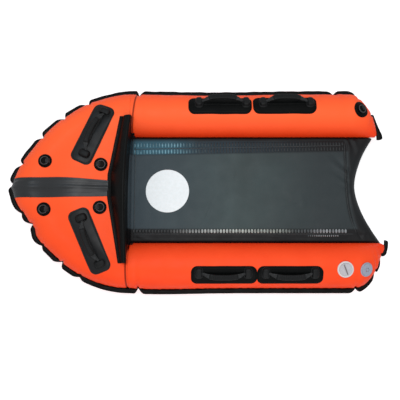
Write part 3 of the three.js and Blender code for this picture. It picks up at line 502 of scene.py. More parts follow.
bead_welt = speckled("black_pvc_bead", "#2C3133", 0.5, 3.0, 0.1, 0.3, "#232729")
grip_rubber = speckled("moulded_epdm_rubber", "#0B0C0D", 0.5, 2.5, 0.15, 0.5, "#08090A", shine=0.14)
patch_skin = coated_fabric("black_pvc_patch", "#0C0D0F", "#0A0B0C", 0.42, 0.18)
side_patch_skin = coated_fabric("matt_black_pvc_patch", "#050606", "#040505", 0.45, 0.05)
strip_rubber = coated_fabric("black_rubber_strip", "#1C1E20", "#17191B", 0.4, 0.3)
webbing = woven_nylon()
grey_plastic = speckled("grey_moulded_abs", "#B3AFB1", 0.4, 6.0, 0.1, 0.25, "#A8A6AA")
# painted shade: the finger bar is coloured darker than the cap
bar_plastic = speckled("moulded_abs_painted_shade", "#6E6466", 0.4, 6.0, 0.1, 0.25, "#645B5D")
relief_plastic = speckled("blue_grey_moulded_abs", "#9094A2", 0.4, 6.0, 0.1, 0.25, "#868B99")
rim_plastic = speckled("pale_moulded_abs", "#CBC4C3", 0.35, 6.0, 0.1, 0.2, "#C1BCBB")
black_plastic = speckled("black_moulded_nylon", "#141517", 0.36, 1.5, 0.08, 0.4)
white_vinyl = speckled("white_vinyl_film", "#DDE1E2", 0.4, 12.0, 0.1, 0.2, "#D8DCDC", shine=0.3)
foam_block = speckled("closed_cell_pe_foam", "#D8D4C8", 0.9, 2.0, 0.5, 0.8, "#C8C3B5")
spring_steel = drawn_steel()
print(len(bpy.data.materials), "materials")

# %% [markdown]
# ## The air chambers
# The bow and the tubes are long balloons of cloth, so each is a skin stretched over ribs. A rib is a
# line across the chamber from its outer edge to its inner one. Over each rib the skin rises in a
# quarter circle, runs on over the bow's crown, and comes down in another quarter. Upper and lower skins
# meet at a welded seam. Where the seam is gathered, the edge is drawn in and folds run up the skin:
# those notches make the scallops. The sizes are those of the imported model.

# %% Set the sizes of the chambers
SIDES = {1: "starboard", -1: "port"}
CLEAR = 0.3
TUBE_R, TUBE_SPREAD = 100.0, 341.0
INNER_Y, OUTER_Y = TUBE_SPREAD - TUBE_R, TUBE_SPREAD + TUBE_R
BOW_END, BOW_LENGTH, NOSE_RISE, BOW_CROWN = -300.0, 520.0, 60.0, 22.0
BOW_SIDE_FULLNESS, BOW_NOSE_FULLNESS, TAIL_FULLNESS = 2.0, 1.35, 1.7
TAIL_START, TAIL_LENGTH = 690.0, 126.0
FLOOR_THICK = 3.0
SEAM_LEVEL = FLOOR_THICK + CLEAR + TUBE_R
SKIN_THICK, SKIN_LIFT = 1.2, 1.3

# a notch is (share of the edge, depth share). The bow's edge runs from a tube, 0, to the nose, 1, and a
# tail's from the end of its straight tube, 0, round to the deck side, 1
BOW_NOTCHES = {
    1: [(0, 0), (0.292, 1), (0.459, 1), (0.639, 0.9), (0.848, 1), (0.985, 1)],
    -1: [(0, 0), (0.305, 0.5), (0.447, 1), (0.597, 0.5), (0.748, 1), (0.829, 0.5), (1, 0.7)],
}
TUBE_NOTCHES = {1: [(0, 0), (0.03, 1), (0.931, 0.8), (1, 0)], -1: [(0, 0), (0.038, 1), (1, 0.8)]}
TAIL_NOTCHES = {
    1: [(0, 0), (0.185, 0.9), (0.568, 0.9), (0.95, 0)],
    -1: [(0, 0.8), (0.47, 1), (0.765, 1), (0.95, 0)],
}
TAIL_END_SHARE, PORT_LOBE_OUT = 0.95, 12.0
NOTCH_DRAW, NOTCH_REACH, SHORT_LOBE = 9.0, 45.0, 135.0
# between its notches too the skin starts a little inside the edge
EDGE_EASE = 3.2

# (place, width, depth in millimetres) along the bow's edge, where its outline is a little flatter:
# 0 is the edge's starboard end, 1 the nose and 2 its port end
EDGE_DENTS = [(0.17, 0.1, 2.5), (0.74, 0.1, 3.0), (1.0, 0.13, 5.0), (1.2, 0.06, 13.0), (1.28, 0.045, 15.0),
              (1.47, 0.07, 3.5)]
# (place, width, depth) along each tube, in millimetres: the starboard side is drawn in a little, and the
# port side, with a depth below 0, stands out a little
SIDE_DENTS = {1: (380, 260, 6), -1: (140, 190, -4.5)}


def rounded_edge(reach, breadth, side_fullness, tip_fullness, count):
    """Points of a quarter superellipse and their distances along it, for a count or for given shares."""
    turn = np.linspace(0, math.pi / 2, 4001)
    along = reach * np.sin(turn) ** (2 / side_fullness)
    across = breadth * np.clip(np.cos(turn), 0, None) ** (2 / tip_fullness)
    length = np.concatenate([[0], np.cumsum(np.hypot(np.diff(along), np.diff(across)))])
    places = np.linspace(0, length[-1], count) if np.isscalar(count) else np.asarray(count) * length[-1]
    return np.interp(places, length, along), np.interp(places, length, across), places


def ahead_share(x):
    return np.clip((BOW_END - x) / BOW_LENGTH, 0, None)


def seam_height(x):
    return SEAM_LEVEL + NOSE_RISE * ahead_share(x) ** 2


def nose_thinning(x):
    """The chamber gets a little flatter towards the nose."""
    return 1 - 0.16 * ahead_share(x) ** 2


def closeness(place, notches, longest=NOTCH_REACH):
    """How near each place along the edge is to a notch, from 0 to the notch's depth."""
    near = np.zeros_like(place)
    for k, (spot, depth) in enumerate(notches):
        before = spot - notches[k - 1][0] if k else math.inf
        after = notches[k + 1][0] - spot if k + 1 < len(notches) else math.inf
        gap = np.where(place < spot, before, after)
        reach = np.minimum(np.where(gap < SHORT_LOBE, gap / 2, NOTCH_REACH), longest)
        near = np.maximum(near, np.clip(1 - np.abs(place - spot) / reach, 0, None) ** 2 * depth)
    return near


class Ribs:
    """Outer and inner ends of the ribs, their places along the edge, and the notches there."""

    def __init__(self, outer, inner, place, notches):
        self.outer, self.inner, self.place, self.notches = outer, inner, place, notches
        self.near = closeness(place, notches)
        self.span = np.hypot(*(inner - outer).T)
        self.run = (inner - outer) / self.span[:, None]


def bow_ribs(count):
    along, across, place = rounded_edge(BOW_LENGTH, OUTER_Y, BOW_SIDE_FULLNESS, BOW_NOSE_FULLNESS, count)
    full, end = place[-1], BOW_END - CLEAR / 2
    outer = np.concatenate([np.stack([end - along, across], 1), np.stack([end - along, -across], 1)[-2::-1]])
    inner_y = INNER_Y * (1 - place / full)
    inner = np.stack([np.full(2 * count - 1, end), np.concatenate([inner_y, -inner_y[-2::-1]])], 1)
    places = np.concatenate([place, 2 * full - place[-2::-1]])
    drawn = sum(depth * dip(places / full, spot, width) for spot, width, depth in EDGE_DENTS)
    outer = outer + unit(inner - outer) * drawn[:, None]
    notches = [(share * full, depth) for share, depth in BOW_NOTCHES[1]]
    notches += [((2 - share) * full, depth) for share, depth in BOW_NOTCHES[-1][-2::-1]]
    return Ribs(outer, inner, places, notches)


def tube_ribs(side, straight_count, tail_count):
    start = BOW_END + CLEAR / 2
    length = TAIL_START - start
    # closer together beside the bow, where the seam pulls a groove
    run = np.unique(np.concatenate([np.linspace(0, 40, 14), np.linspace(40, length, straight_count)]))
    outer = np.stack([start + run, np.full(len(run), side * OUTER_Y)], 1)
    inner = np.stack([start + run, np.full(len(run), side * INNER_Y)], 1)
    spot, width, depth = SIDE_DENTS[side]
    outer[:, 1] -= side * depth * dip(run, spot, width) * np.clip(run / 60, 0, 1)
    shares = np.linspace(0, TAIL_END_SHARE, tail_count)[1:]
    tail_edge = (TAIL_LENGTH, 2 * TUBE_R, TAIL_FULLNESS, TAIL_FULLNESS)
    along, across, place = rounded_edge(*tail_edge, shares)
    _, _, whole = rounded_edge(*tail_edge, 2)
    tail_outer = np.stack([TAIL_START + along, side * (INNER_Y + across)], 1)
    if side < 0:
        # the last lobe of the port tail stands further out
        tail_outer[:, 0] += PORT_LOBE_OUT * np.clip((shares - TAIL_NOTCHES[side][-2][0]) / 0.1, 0, 1)
    tail_inner_x = TAIL_START + along * (0.55 + 0.4 * shares)
    tail_inner = np.stack([tail_inner_x, np.full(len(shares), side * INNER_Y)], 1)
    notches = [(share * length, depth) for share, depth in TUBE_NOTCHES[side]]
    # the last straight notch and the first tail one are the same place
    notches += [(length + share * whole[-1], depth) for share, depth in TAIL_NOTCHES[side][1:]]
    return Ribs(np.concatenate([outer, tail_outer]), np.concatenate([inner, tail_inner]),
                np.concatenate([run, length + place]), notches)


bow = bow_ribs(190)
tubes = {side: tube_ribs(side, 190, 110) for side in SIDES}
print("seam level", SEAM_LEVEL, "mm, edge of the bow", round(float(bow.place[-1])), "mm")

# %% [markdown]
# ### Folds in the skin
# A gathered edge throws folds: a sharp valley runs up from each notch, with a soft ridge on either
# side, and it widens and fades as it climbs. Two shorter folds start beside it, and along the seam
# there are fine ripples. Further in, the skin swells slowly. The folds are added square to the skin,
# so they show in the outline as well as in the shading.

# %% Fold the skin
VALLEY_DEPTH, RIDGE_HEIGHT, SHORT_FOLD_DEPTH, SWELL = 8.0, 3.2, 2.4, 0.55
FULL_TURN = 6.2832
rng = np.random.default_rng(7)
waviness = [(rng.uniform(90, 260), rng.uniform(0, 6.28), rng.uniform(-0.9, 0.9)) for _ in range(6)]
RIPPLES = [(31, 0.3, 0.5), (19, 1.7, 0.35), (47, 2.9, 0.5)]


def folds(place, depth_in, ribs, side_seed):
    """Height added to the skin at each place along the edge and distance in from it, in millimetres."""
    seeded = np.random.default_rng(side_seed)
    height = np.zeros(np.broadcast(place, depth_in).shape)
    for spot, depth in ribs.notches:
        if depth == 0:
            continue
        lean, reach = seeded.uniform(-0.22, 0.22), seeded.uniform(50, 85)
        off = place - spot - lean * depth_in
        width = 3.8 + 0.07 * depth_in
        fading = np.exp(-depth_in / reach)
        height -= VALLEY_DEPTH * depth * dip(off, 0, width) * fading
        height += RIDGE_HEIGHT * depth * fading * (dip(off, 2.3 * width, 1.5 * width)
                                                   + dip(off, -2.3 * width, 1.5 * width))
        for _ in range(2):
            start = spot + seeded.uniform(-28, 28)
            slant, short = seeded.uniform(-0.5, 0.5), seeded.uniform(18, 40)
            off = place - start - slant * depth_in
            height -= SHORT_FOLD_DEPTH * depth * dip(off, 0, 3.5 + 0.1 * depth_in) * np.exp(-depth_in / short)
    ripple = sum(np.sin(place * FULL_TURN / size + phase) * push for size, phase, push in RIPPLES)
    swell = sum(push * np.sin(place * FULL_TURN / size + phase + depth_in / 70)
                for size, phase, push in waviness)
    return height + ripple * np.exp(-depth_in / 20) + SWELL * swell * (1 - np.exp(-depth_in / 40))


def tuck_grooves(x, y):
    """Depth of the groove where the bow meets a tube, which runs aslant, and of a second one ahead of it."""
    groove = BOW_END + 21 * np.clip((y - 210) / 190, 0, 1.2) - 9 * np.clip((-y - 240) / 60, 0, 1)
    groove = groove + 1.2 * np.sin(y / 9)
    second = np.clip((y - 330) / 30, 0, 1) * np.clip((430 - y) / 30, 0, 1)
    second_off = x - groove + 11 + (y - 380) * 0.06
    return 4.2 * dip(x, groove, 3.6) + 1.4 * dip(x, groove, 16.0) + 2.6 * second * dip(second_off, 0, 3.0)


def chamber_skin(ribs, half, arc_steps, flat_steps, inner_steps, seed):
    """The grid of one half skin: half is 1 above the seam and -1 below it."""
    radius = np.minimum(TUBE_R, ribs.span / 2)
    flat = ribs.span - 2 * radius
    crown = BOW_CROWN * flat / (BOW_LENGTH - 2 * TUBE_R) if half > 0 else 0 * flat
    pull = NOTCH_DRAW * ribs.near + EDGE_EASE * (1 - ribs.near)
    # each column holds a distance along the rib, the crown's rise, the round's rise and the way over the skin
    columns = []
    for turn in np.linspace(0, math.pi / 2, arc_steps + 1):
        drawn = pull * (1 - math.sin(turn)) ** 1.4
        columns.append((radius * (1 - math.cos(turn)) + drawn, 0 * radius, radius * math.sin(turn),
                        radius * turn))
    for share in np.arange(1, flat_steps + 1) / max(flat_steps, 1):
        columns.append((radius + flat * share, crown * math.sin(math.pi * share) ** 2, radius,
                        radius * math.pi / 2 + flat * share))
    for turn in np.linspace(math.pi / 2, 0, inner_steps + 1)[1:]:
        columns.append((ribs.span - radius * (1 - math.cos(turn)), 0 * radius, radius * math.sin(turn),
                        radius * (math.pi - turn) + flat))
    along, crown_rise, round_rise, depth_in = (np.stack(part, 1) for part in zip(*columns))
    x = ribs.outer[:, :1] + ribs.run[:, :1] * along
    y = ribs.outer[:, 1:] + ribs.run[:, 1:] * along
    rise = np.maximum(crown_rise + round_rise * nose_thinning(x), SKIN_LIFT)
    points = np.stack([x, y, seam_height(x) + half * rise], 2)
    bump = folds(ribs.place[:, None], depth_in, ribs, seed)
    bump *= np.clip((ribs.span[:, None] * 1.3 - depth_in) / 60, 0, 1)
    # the folds die away where the bow and the tubes meet
    bump *= np.clip(np.abs(x - BOW_END) / 30, 0, 1) ** 2
    bump -= tuck_grooves(x, y)
    if half < 0:
        bump = np.minimum(bump, 0.4)
    points = points + grid_normals(points, half) * bump[:, :, None]
    points[:, 0, 2] = seam_height(points[:, 0, 0]) + half * SKIN_LIFT
    points[:, :, 2] = np.where(half > 0, points[:, :, 2], np.maximum(points[:, :, 2], FLOOR_THICK + 0.2))
    return points


def skin_piece(name, points, half, closed_tip=False):
    piece = sheet(name, points, orange_skin, (0, 0, half), SKIN_THICK, closed_tip=closed_tip)
    dress(piece, "hull", "orange_skin", name)
    return piece


skins = []
for half, word in ((1, "upper"), (-1, "lower")):
    arc, flat_steps, inner = (30, 34, 18) if half > 0 else (22, 8, 10)
    skins.append(skin_piece(f"bow_{word}_skin", chamber_skin(bow, half, arc, flat_steps, inner, 11), half))
    for side, ribs in tubes.items():
        grid = chamber_skin(ribs, half, arc, 0, arc, 20 + side)
        skins.append(skin_piece(f"{SIDES[side]}_tube_{word}_skin", grid, half, closed_tip=True))
for piece in skins:
    print(piece.name, len(piece.data.polygons), "faces")

# %% [markdown]
# ### The seam flange
# The welded seam stands out from the skins as a black strip about twenty millimetres wide. It is cut
# back to almost nothing at each notch, and between notches it cockles a little, up and down. Past the
# tip of a tail it turns square and ends in a tab on the deck side.

# %% Run the flange round each chamber
FLANGE_WIDTH, FLANGE_GATHER, FLANGE_NOTCH, FLANGE_ROOT, FLANGE_HALF = 20.0, 0.85, 30.0, 8.0, 1.1
TAIL_LOBE_BROADER = {1: 6, -1: -3}
TAB_LENGTH, TAB_STEPS = 22, 13


def flange_piece(name, ribs, tip_side=0):
    outer, run, place, span = ribs.outer, ribs.run, ribs.place, ribs.span
    near = closeness(place, ribs.notches, FLANGE_NOTCH)
    breadth = np.full(len(near), FLANGE_WIDTH)
    if tip_side:
        # the last lobe's strip is broader to starboard and narrower to port
        spots = [spot for spot, _ in ribs.notches]
        breadth += TAIL_LOBE_BROADER[tip_side] * np.clip((place - spots[-2]) / 25, 0, 1)
        if tip_side > 0:
            # here the ring's patch takes the strip's place
            near = np.where((place > spots[-3]) & (place < spots[-2]), 1.0, near)
        share = np.linspace(0, 1, TAB_STEPS + 1)[1:, None]
        tab_y = tip_side * (INNER_Y + 9 - TAB_LENGTH * share)
        tab_x = outer[-1, 0] + max(TAIL_START + TAIL_LENGTH - outer[-1, 0], 1.0) * np.clip(share * 2, 0, 1)
        outer = np.concatenate([outer, np.concatenate([tab_x, tab_y], 1)])
        still = (1 - share) ** 2
        run = np.concatenate([run, unit(run[-1] * still + np.array([-1, 0]) * (1 - still))])
        near = np.concatenate([near, 0.45 * np.clip(share[:, 0] * 3 - 2, 0, 1) ** 2])
        breadth = np.concatenate([breadth, np.full(TAB_STEPS, breadth[-1])])
        place = np.concatenate([place, place[-1] + TAB_LENGTH * share[:, 0]])
        span = np.concatenate([span, np.full(TAB_STEPS, 6.0)])
    cockle = 1.8 * np.sin(place / 21.0) + 1.3 * np.sin(place / 9.7 + 1.0) + 2.6 * near
    pull = NOTCH_DRAW * near
    edge = pull - breadth * (1 - FLANGE_GATHER * near)
    root = np.minimum(FLANGE_ROOT + pull, span / 3)
    middle, lip = 0.45 * root + 0.55 * edge, edge + FLANGE_HALF
    # the section: distance along the rib, height, and how much of the cockle reaches there
    profile = [(root, -1, 0.0), (middle, -1, 0.4), (lip, -1, 1.0), (edge, 0, 1.0), (lip, 1, 1.0),
               (middle, 1, 0.4), (root, 1, 0.0)]
    rings = []
    for along, level, share in profile:
        x, y = outer[:, 0] + run[:, 0] * along, outer[:, 1] + run[:, 1] * along
        rings.append(np.stack([x, y, seam_height(x) + level * FLANGE_HALF + cockle * share], 1))
    return dress(loft(name, np.stack(rings, 1), black_skin), "hull", "black_skin", name)


flanges = [flange_piece("bow_seam_flange", bow)]
flanges += [flange_piece(f"{SIDES[side]}_seam_flange", ribs, side) for side, ribs in tubes.items()]
print([len(piece.data.polygons) for piece in flanges], "faces in the flanges")

# %% [markdown]
# ## Hull floor
# The floor is one flat sheet of coated fabric, glued under both tubes and the bow, so the chambers
# stand on it. Its rear edge is cut to the same hollow curve as the deck. It is flat on the ground, so a
# thin slab built row by row does the job, and its rim is rounded by a bevel.

# %% Cut the hull floor
CORNER_X = TAIL_START + 0.968 * TAIL_LENGTH
RECESS_X, RECESS_MIDDLE, RECESS_FULLNESS = CORNER_X - 101, 12.0, 1.75
FLOOR_FRONT, FLOOR_HALF = -322, 347


def recess_x(y):
    """The hollow rear edge that the floor and the deck share."""
    return RECESS_X + (CORNER_X - RECESS_X) * (np.abs(y - RECESS_MIDDLE) / INNER_Y) ** RECESS_FULLNESS


def with_close_ends(end, inside, end_count, count):
    """Places from -end to end, closer together beyond the places inside."""
    return np.concatenate([np.linspace(-end, -inside, end_count)[:-1], np.linspace(-inside, inside, count),
                           np.linspace(inside, end, end_count)[1:]])


floor_y = with_close_ends(FLOOR_HALF, INNER_Y, 9, 61)
corner = recess_x(np.sign(floor_y) * INNER_Y)
under_tube = (np.abs(floor_y) - INNER_Y) / (FLOOR_HALF - INNER_Y)
rear = np.where(under_tube > 0, corner + (TAIL_START - corner) * under_tube, recess_x(floor_y))
plan_x = FLOOR_FRONT + (rear[:, None] - FLOOR_FRONT) * np.linspace(0, 1, 31)
plan_y = np.broadcast_to(floor_y[:, None], plan_x.shape)
points = np.concatenate([np.stack([plan_x, plan_y, 0 * plan_x + level], 2).reshape(-1, 3)
                         for level in (FLOOR_THICK, 0.0)])
rows, columns = plan_x.shape
lower = rows * columns
faces = [face[::-1] for face in grid_faces(rows, columns)] + grid_faces(rows, columns, start=lower)
rim = ([i * columns for i in range(rows)] + [(rows - 1) * columns + j for j in range(1, columns)]
       + [i * columns + columns - 1 for i in range(rows - 2, -1, -1)] + list(range(columns - 2, 0, -1)))
faces += [(a, b, b + lower, a + lower) for a, b in zip(rim, rim[1:] + rim[:1])]
hull_floor = tidy_mesh(make_piece("hull_floor_sheet", points, faces, black_skin, smooth=False))
add_modifier(hull_floor, "BEVEL", width=0.8 * MM, segments=2, limit_method="ANGLE")
dress(hull_floor, "hull", "black_skin", "hull_floor")

# %% [markdown]
# ## Deck
# The deck is a low foam slab in a cover. The cover's top is a dark panel welded to a blacker border.
# It rolls over at the hollow rear edge. At the starboard rear corner the cover is pulled into folds
# that fan out from the corner, and the panel's rear edge lies in a shallow fold that bends away on
# the port side. The cover is one grid from the breakwater over the top and round the rear roll.

# %% Stretch the deck cover
DECK_RISE, DECK_CROWN, REAR_ROUND, SIDE_ROUND = 9.0, 5.0, 42.0, 12
DECK_HALF, DECK_TOP = INNER_Y - CLEAR, SEAM_LEVEL + DECK_RISE
# each fold starts at its first place, ends at its second, and has a width and a height, below 0 a depth
DECK_FOLDS = [
    ((668, 92), (588, 176), 10, -5.5), ((672, 62), (584, 132), 11, 4.5), ((668, 40), (590, 104), 9, -3.5),
    ((672, 12), (604, 64), 8, 2.5), ((684, -8), (620, 40), 9, -2.4), ((676, 224), (700, 160), 6, 5.0),
    ((690, 216), (712, 140), 8, -3.6), ((712, 222), (730, 160), 7, 3.0), ((742, -196), (706, -150), 8, 2.8),
    ((728, -206), (676, -208), 7, -1.8), ((40, -120), (120, 60), 7, -1.8), ((440, -70), (300, -105), 6, -1.4),
    ((170, 60), (150, -120), 8, -0.8), ((-260, -214), (-180, -232), 6, 1.4), ((470, -70), (440, 60), 14, 1.0),
    ((330, -214), (460, -226), 6, 1.2),
]
# the welds along the deck, each (place, slant)
DECK_WELDS = [(PANEL_STARBOARD, ROW_SLANT), (PANEL_PORT, 0.0), (215.0, ROW_SLANT / 2), (-218.0, 0.0)]


def deck_level(y):
    """Height of the deck's top: a low crown that rounds down into the side tubes."""
    side = np.clip((np.abs(y) - (DECK_HALF - SIDE_ROUND)) / SIDE_ROUND, 0, 1)
    return SEAM_LEVEL + (DECK_RISE + DECK_CROWN * (1 - (y / DECK_HALF) ** 2)) * (1 - side ** 2.2)


def fold(x, y, start, end, width, depth):
    """A soft fold along the line from start to end, deepest at its start."""
    run = np.subtract(end, start)
    length = np.hypot(*run)
    along = ((x - start[0]) * run[0] + (y - start[1]) * run[1]) / length ** 2
    aside = ((x - start[0]) * -run[1] + (y - start[1]) * run[0]) / length
    fading = np.clip(1 - along, 0, 1) * np.clip(1 + along * 6, 0, 1)
    return depth * fading * dip(aside, 0, width * (1 + np.clip(along, 0, 1)))


def deck_waves(x, y):
    rear_fold = 1.4 * dip(x, panel_rear(y) + 13, 9) - 2.2 * dip(x, panel_rear(y), 7)
    height = rear_fold * np.clip((232 - np.abs(y)) / 20, 0, 1)
    for line in DECK_FOLDS:
        height = height + fold(x, y, *line)
    for place, slant in DECK_WELDS:
        height = height - 0.7 * dip(y, place + slant * x, 2.2) * (x < 670)
    return height + 0.8 * np.sin(x / 61 + y / 90) * np.sin(y / 47 + 0.6) + 0.5 * np.sin(x / 33 - y / 71)


TOP_STEPS, ROUND_STEPS, WALL_STEPS = 330, 16, 8
rows = []
for y in with_close_ends(DECK_HALF, DECK_HALF - 14, 9, 150):
    top, rear = float(deck_level(np.array(y))), float(recess_x(y))
    x = np.linspace(BOW_END + CLEAR, rear - REAR_ROUND, TOP_STEPS)
    turn = np.linspace(0, math.pi / 2, ROUND_STEPS)[1:]
    wall = np.linspace(top - REAR_ROUND, FLOOR_THICK + CLEAR, WALL_STEPS)[1:]
    x = np.concatenate([x, rear - REAR_ROUND + REAR_ROUND * np.sin(turn), 0 * wall + rear])
    z = np.concatenate([np.full(TOP_STEPS, top), top - REAR_ROUND + REAR_ROUND * np.cos(turn), wall])
    rows.append(np.stack([x, np.full(len(x), y), z], 1))
deck_points = np.stack(rows)
x, y, z = np.moveaxis(deck_points, 2, 0)
waves = deck_waves(x, y) * np.clip((z - 40) / 40, 0, 1) * np.clip((DECK_HALF - np.abs(y)) / 6, 0, 1)
deck_points = deck_points + grid_normals(deck_points) * waves[:, :, None]
deck_cover = sheet("deck_cover_sheet", deck_points, deck_sheet, (0, 0, 1), 1.5)
dress(deck_cover, "hull", "deck_skin", "deck_cover")
print("deck cover", len(deck_cover.data.polygons), "faces")

# %% [markdown]
# The block inside is closed-cell foam, cut to the cover's form and a few millimetres smaller, so that
# the cover's folds have room. It stays out of sight.

# %% Cut the deck's foam
FOAM_GAP, FOAM_MARGIN, FOAM_FOOT = 7.0, 4, FLOOR_THICK + 1
foam_front, foam_half = BOW_END + FOAM_MARGIN, DECK_HALF - FOAM_MARGIN
foam_rows = []
for y in np.linspace(-foam_half, foam_half, 41):
    top, rear = float(deck_level(np.array(y))) - FOAM_GAP, float(recess_x(y)) - FOAM_GAP
    turn = np.linspace(0, math.pi / 2, 7)
    radius = REAR_ROUND - FOAM_GAP
    x = np.concatenate([[foam_front], rear - radius + radius * np.sin(turn), [rear, foam_front]])
    z = np.concatenate([[top], top - radius + radius * np.cos(turn), [FOAM_FOOT, FOAM_FOOT]])
    foam_rows.append(np.stack([x, np.full(len(x), y), z], 1))
deck_foam = loft("deck_foam_slab", np.stack(foam_rows), foam_block, smooth=False)
dress(deck_foam, "hull", "foam", "deck_foam_core")
print("deck foam", len(deck_foam.data.polygons), "faces")

# %% [markdown]
# ### A way to lay things on a surface
# Badges, patches and weld ribs lie on the skins and the deck. A tree of triangles answers where a line
# dropped on a surface meets it. One such tree holds the upper skins, and one holds the deck.

# %% Build the trees
def surface_tree(*pieces):
    points, faces = [], []
    for piece in pieces:
        start = len(points)
        points += [v.co.copy() for v in piece.data.vertices]
        faces += [tuple(start + k for k in f.vertices) for f in piece.data.polygons]
    return BVHTree.FromPolygons(points, faces)


skin_tree = surface_tree(*[piece for piece in skins if "upper" in piece.name])
deck_tree = surface_tree(deck_cover)


def level_below(tree, x, y, missing):
    """Height of the surface under a place, in millimetres, or the missing value beside the surface."""
    hit = tree.ray_cast(Vector((x, y, 390)) * MM, Vector((0, 0, -1)), 400 * MM)[0]
    return missing if hit is None else hit[2] / MM


print("deck at the badge", round(level_below(deck_tree, -137, 0, 0), 1), "mm up")

# %% [markdown]
# ### The badge
# A round disc of vinyl film, nearly two hundred millimetres across, lies on the deck's front. It
# carries nothing here. It is made of rings of points dropped on the deck, with a rounded edge, so
# that it follows the deck's low waves.

# %% Lay the badge
turn = np.linspace(0, 2 * math.pi, 144, endpoint=False)
circle = np.stack([np.cos(turn), np.sin(turn)], 1)
BADGE_CENTRE = np.array([-137.0, -8.5])
BADGE_RINGS = [(radius, 1.0) for radius in (*range(0, 96, 12), 92, 95)]
BADGE_RINGS += [(96.2, 0.85), (96.8, 0.5), (97, 0.1)]
rings = []
for radius, lift in BADGE_RINGS:
    rings.append([(x, y, level_below(deck_tree, x, y, 117) + lift) for x, y in BADGE_CENTRE + circle * radius])
badge = sheet("badge_film", np.array(rings), white_vinyl, (0, 0, 1), 0.3, join_columns=True)
dress(badge, "hull", "white_vinyl", "badge_disc")
print("badge", len(badge.data.polygons), "faces")

# %% [markdown]
# ### Weld ribs
# The border is welded to the panel with a toothed tool, which leaves rows of short ribs about fourteen
# millimetres apart, like ladders, with a plain bead beside them. What repeats along a path is work for
# Geometry Nodes: the path is resampled at the pitch, a small rounded block stands on each point and is
# turned to the path, and the copies are made real. The tree's sizes are inputs, so every row of ribs
# or dots on the deck comes from this one tree.

# %% Build the tree that repeats a block along a path
def repeat_tree():
    tree = bpy.data.node_groups.new("repeat_along_path", "GeometryNodeTree")
    inputs = {}
    kinds = {"Geometry": "Geometry", "Pitch": "Float", "Size": "Vector", "Finish": "Material"}
    for name, kind in kinds.items():
        socket = tree.interface.new_socket(name, in_out="INPUT", socket_type="NodeSocket" + kind)
        inputs[name] = socket.identifier
    tree.interface.new_socket("Geometry", in_out="OUTPUT", socket_type="NodeSocketGeometry")
    given = add_node(tree, "NodeGroupInput").node.outputs
    path = add_node(tree, "GeometryNodeMeshToCurve", {"Mesh": given["Geometry"]})
    points = add_node(tree, "GeometryNodeResampleCurve", {"Curve": path, "Length": given["Pitch"]},
                      mode="LENGTH")
    tangent = add_node(tree, "GeometryNodeInputTangent")
    along = add_node(tree, "FunctionNodeAlignRotationToVector", {"Vector": tangent}, axis="X")
    upright = add_node(tree, "FunctionNodeAlignRotationToVector", {"Rotation": along, "Vector": (0, 0, 1)},
                       axis="Z", pivot_axis="X")
    block = add_node(tree, "GeometryNodeSubdivisionSurface",
                     {"Mesh": add_node(tree, "GeometryNodeMeshCube"), "Level": 1})
    copies = add_node(tree, "GeometryNodeInstanceOnPoints",
                      {"Points": points, "Instance": block, "Rotation": upright, "Scale": given["Size"]})
    real = add_node(tree, "GeometryNodeRealizeInstances", {"Geometry": copies})
    shaded = add_node(tree, "GeometryNodeSetMaterial", {"Geometry": real, "Material": given["Finish"]})
    add_node(tree, "NodeGroupOutput", {"Geometry": shaded})
    return tree, inputs


repeat_along, repeat_inputs = repeat_tree()
# subdividing a cube shrinks it, so that the block comes out at about its stated size
BLOCK_GROWTH = 1.6


def row_of(name, paths, pitch_mm, size_mm, material):
    """Repeats a rounded block along each path, and makes the result a plain mesh."""
    points, edges = [], []
    for path_points in paths:
        start = len(points)
        points += [tuple(p) for p in np.asarray(path_points, float) * MM]
        edges += [(start + k, start + k + 1) for k in range(len(path_points) - 1)]
    line = bpy.data.meshes.new(name + "_path")
    line.from_pydata(points, edges, [])
    carrier = bpy.data.objects.new(name, line)
    scene.collection.objects.link(carrier)
    modifier = carrier.modifiers.new("Repeat", "NODES")
    modifier.node_group = repeat_along
    modifier[repeat_inputs["Pitch"]] = pitch_mm * MM
    modifier[repeat_inputs["Size"]] = tuple(BLOCK_GROWTH * size * MM for size in size_mm)
    modifier[repeat_inputs["Finish"]] = material
    finished = bpy.data.meshes.new_from_object(carrier.evaluated_get(bpy.context.evaluated_depsgraph_get()))
    carrier.modifiers.remove(modifier)
    carrier.data = finished
    finished.polygons.foreach_set("use_smooth", [True] * len(finished.polygons))
    dress(carrier, "hull", "deck_skin")
    print(name, len(finished.polygons), "faces")


def on_deck(points, lift):
    return np.array([(x, y, level_below(deck_tree, x, y, 112) + lift) for x, y in points])


def deck_line(y, slant=0.0, start=-286.0, end=655.0):
    return on_deck([(x, y + slant * x) for x in np.linspace(start, end, 90)], 0.3)


RIB_PITCH, DOT_PITCH = 13.8, 9
row_of("deck_weld_ribs", [deck_line(174.5, ROW_SLANT), deck_line(203, ROW_SLANT / 2)], RIB_PITCH,
       (5.2, 17, 2.6), weld_glints)
row_of("deck_port_weld_ribs", [deck_line(-188.5)], RIB_PITCH, (8.6, 15, 2.6), weld_glints)
row_of("deck_weld_dots", [deck_line(-209.5, 0, 490, 620)], DOT_PITCH, (4.5, 7, 2.2), weld_glints)

# %% [markdown]
# ### Beads and piping
# A bead is a thin round rope of welded plastic, or the piping along an edge. It is a ring of points
# carried along a path. The ring stays square to the path, and the ends are drawn in and closed.

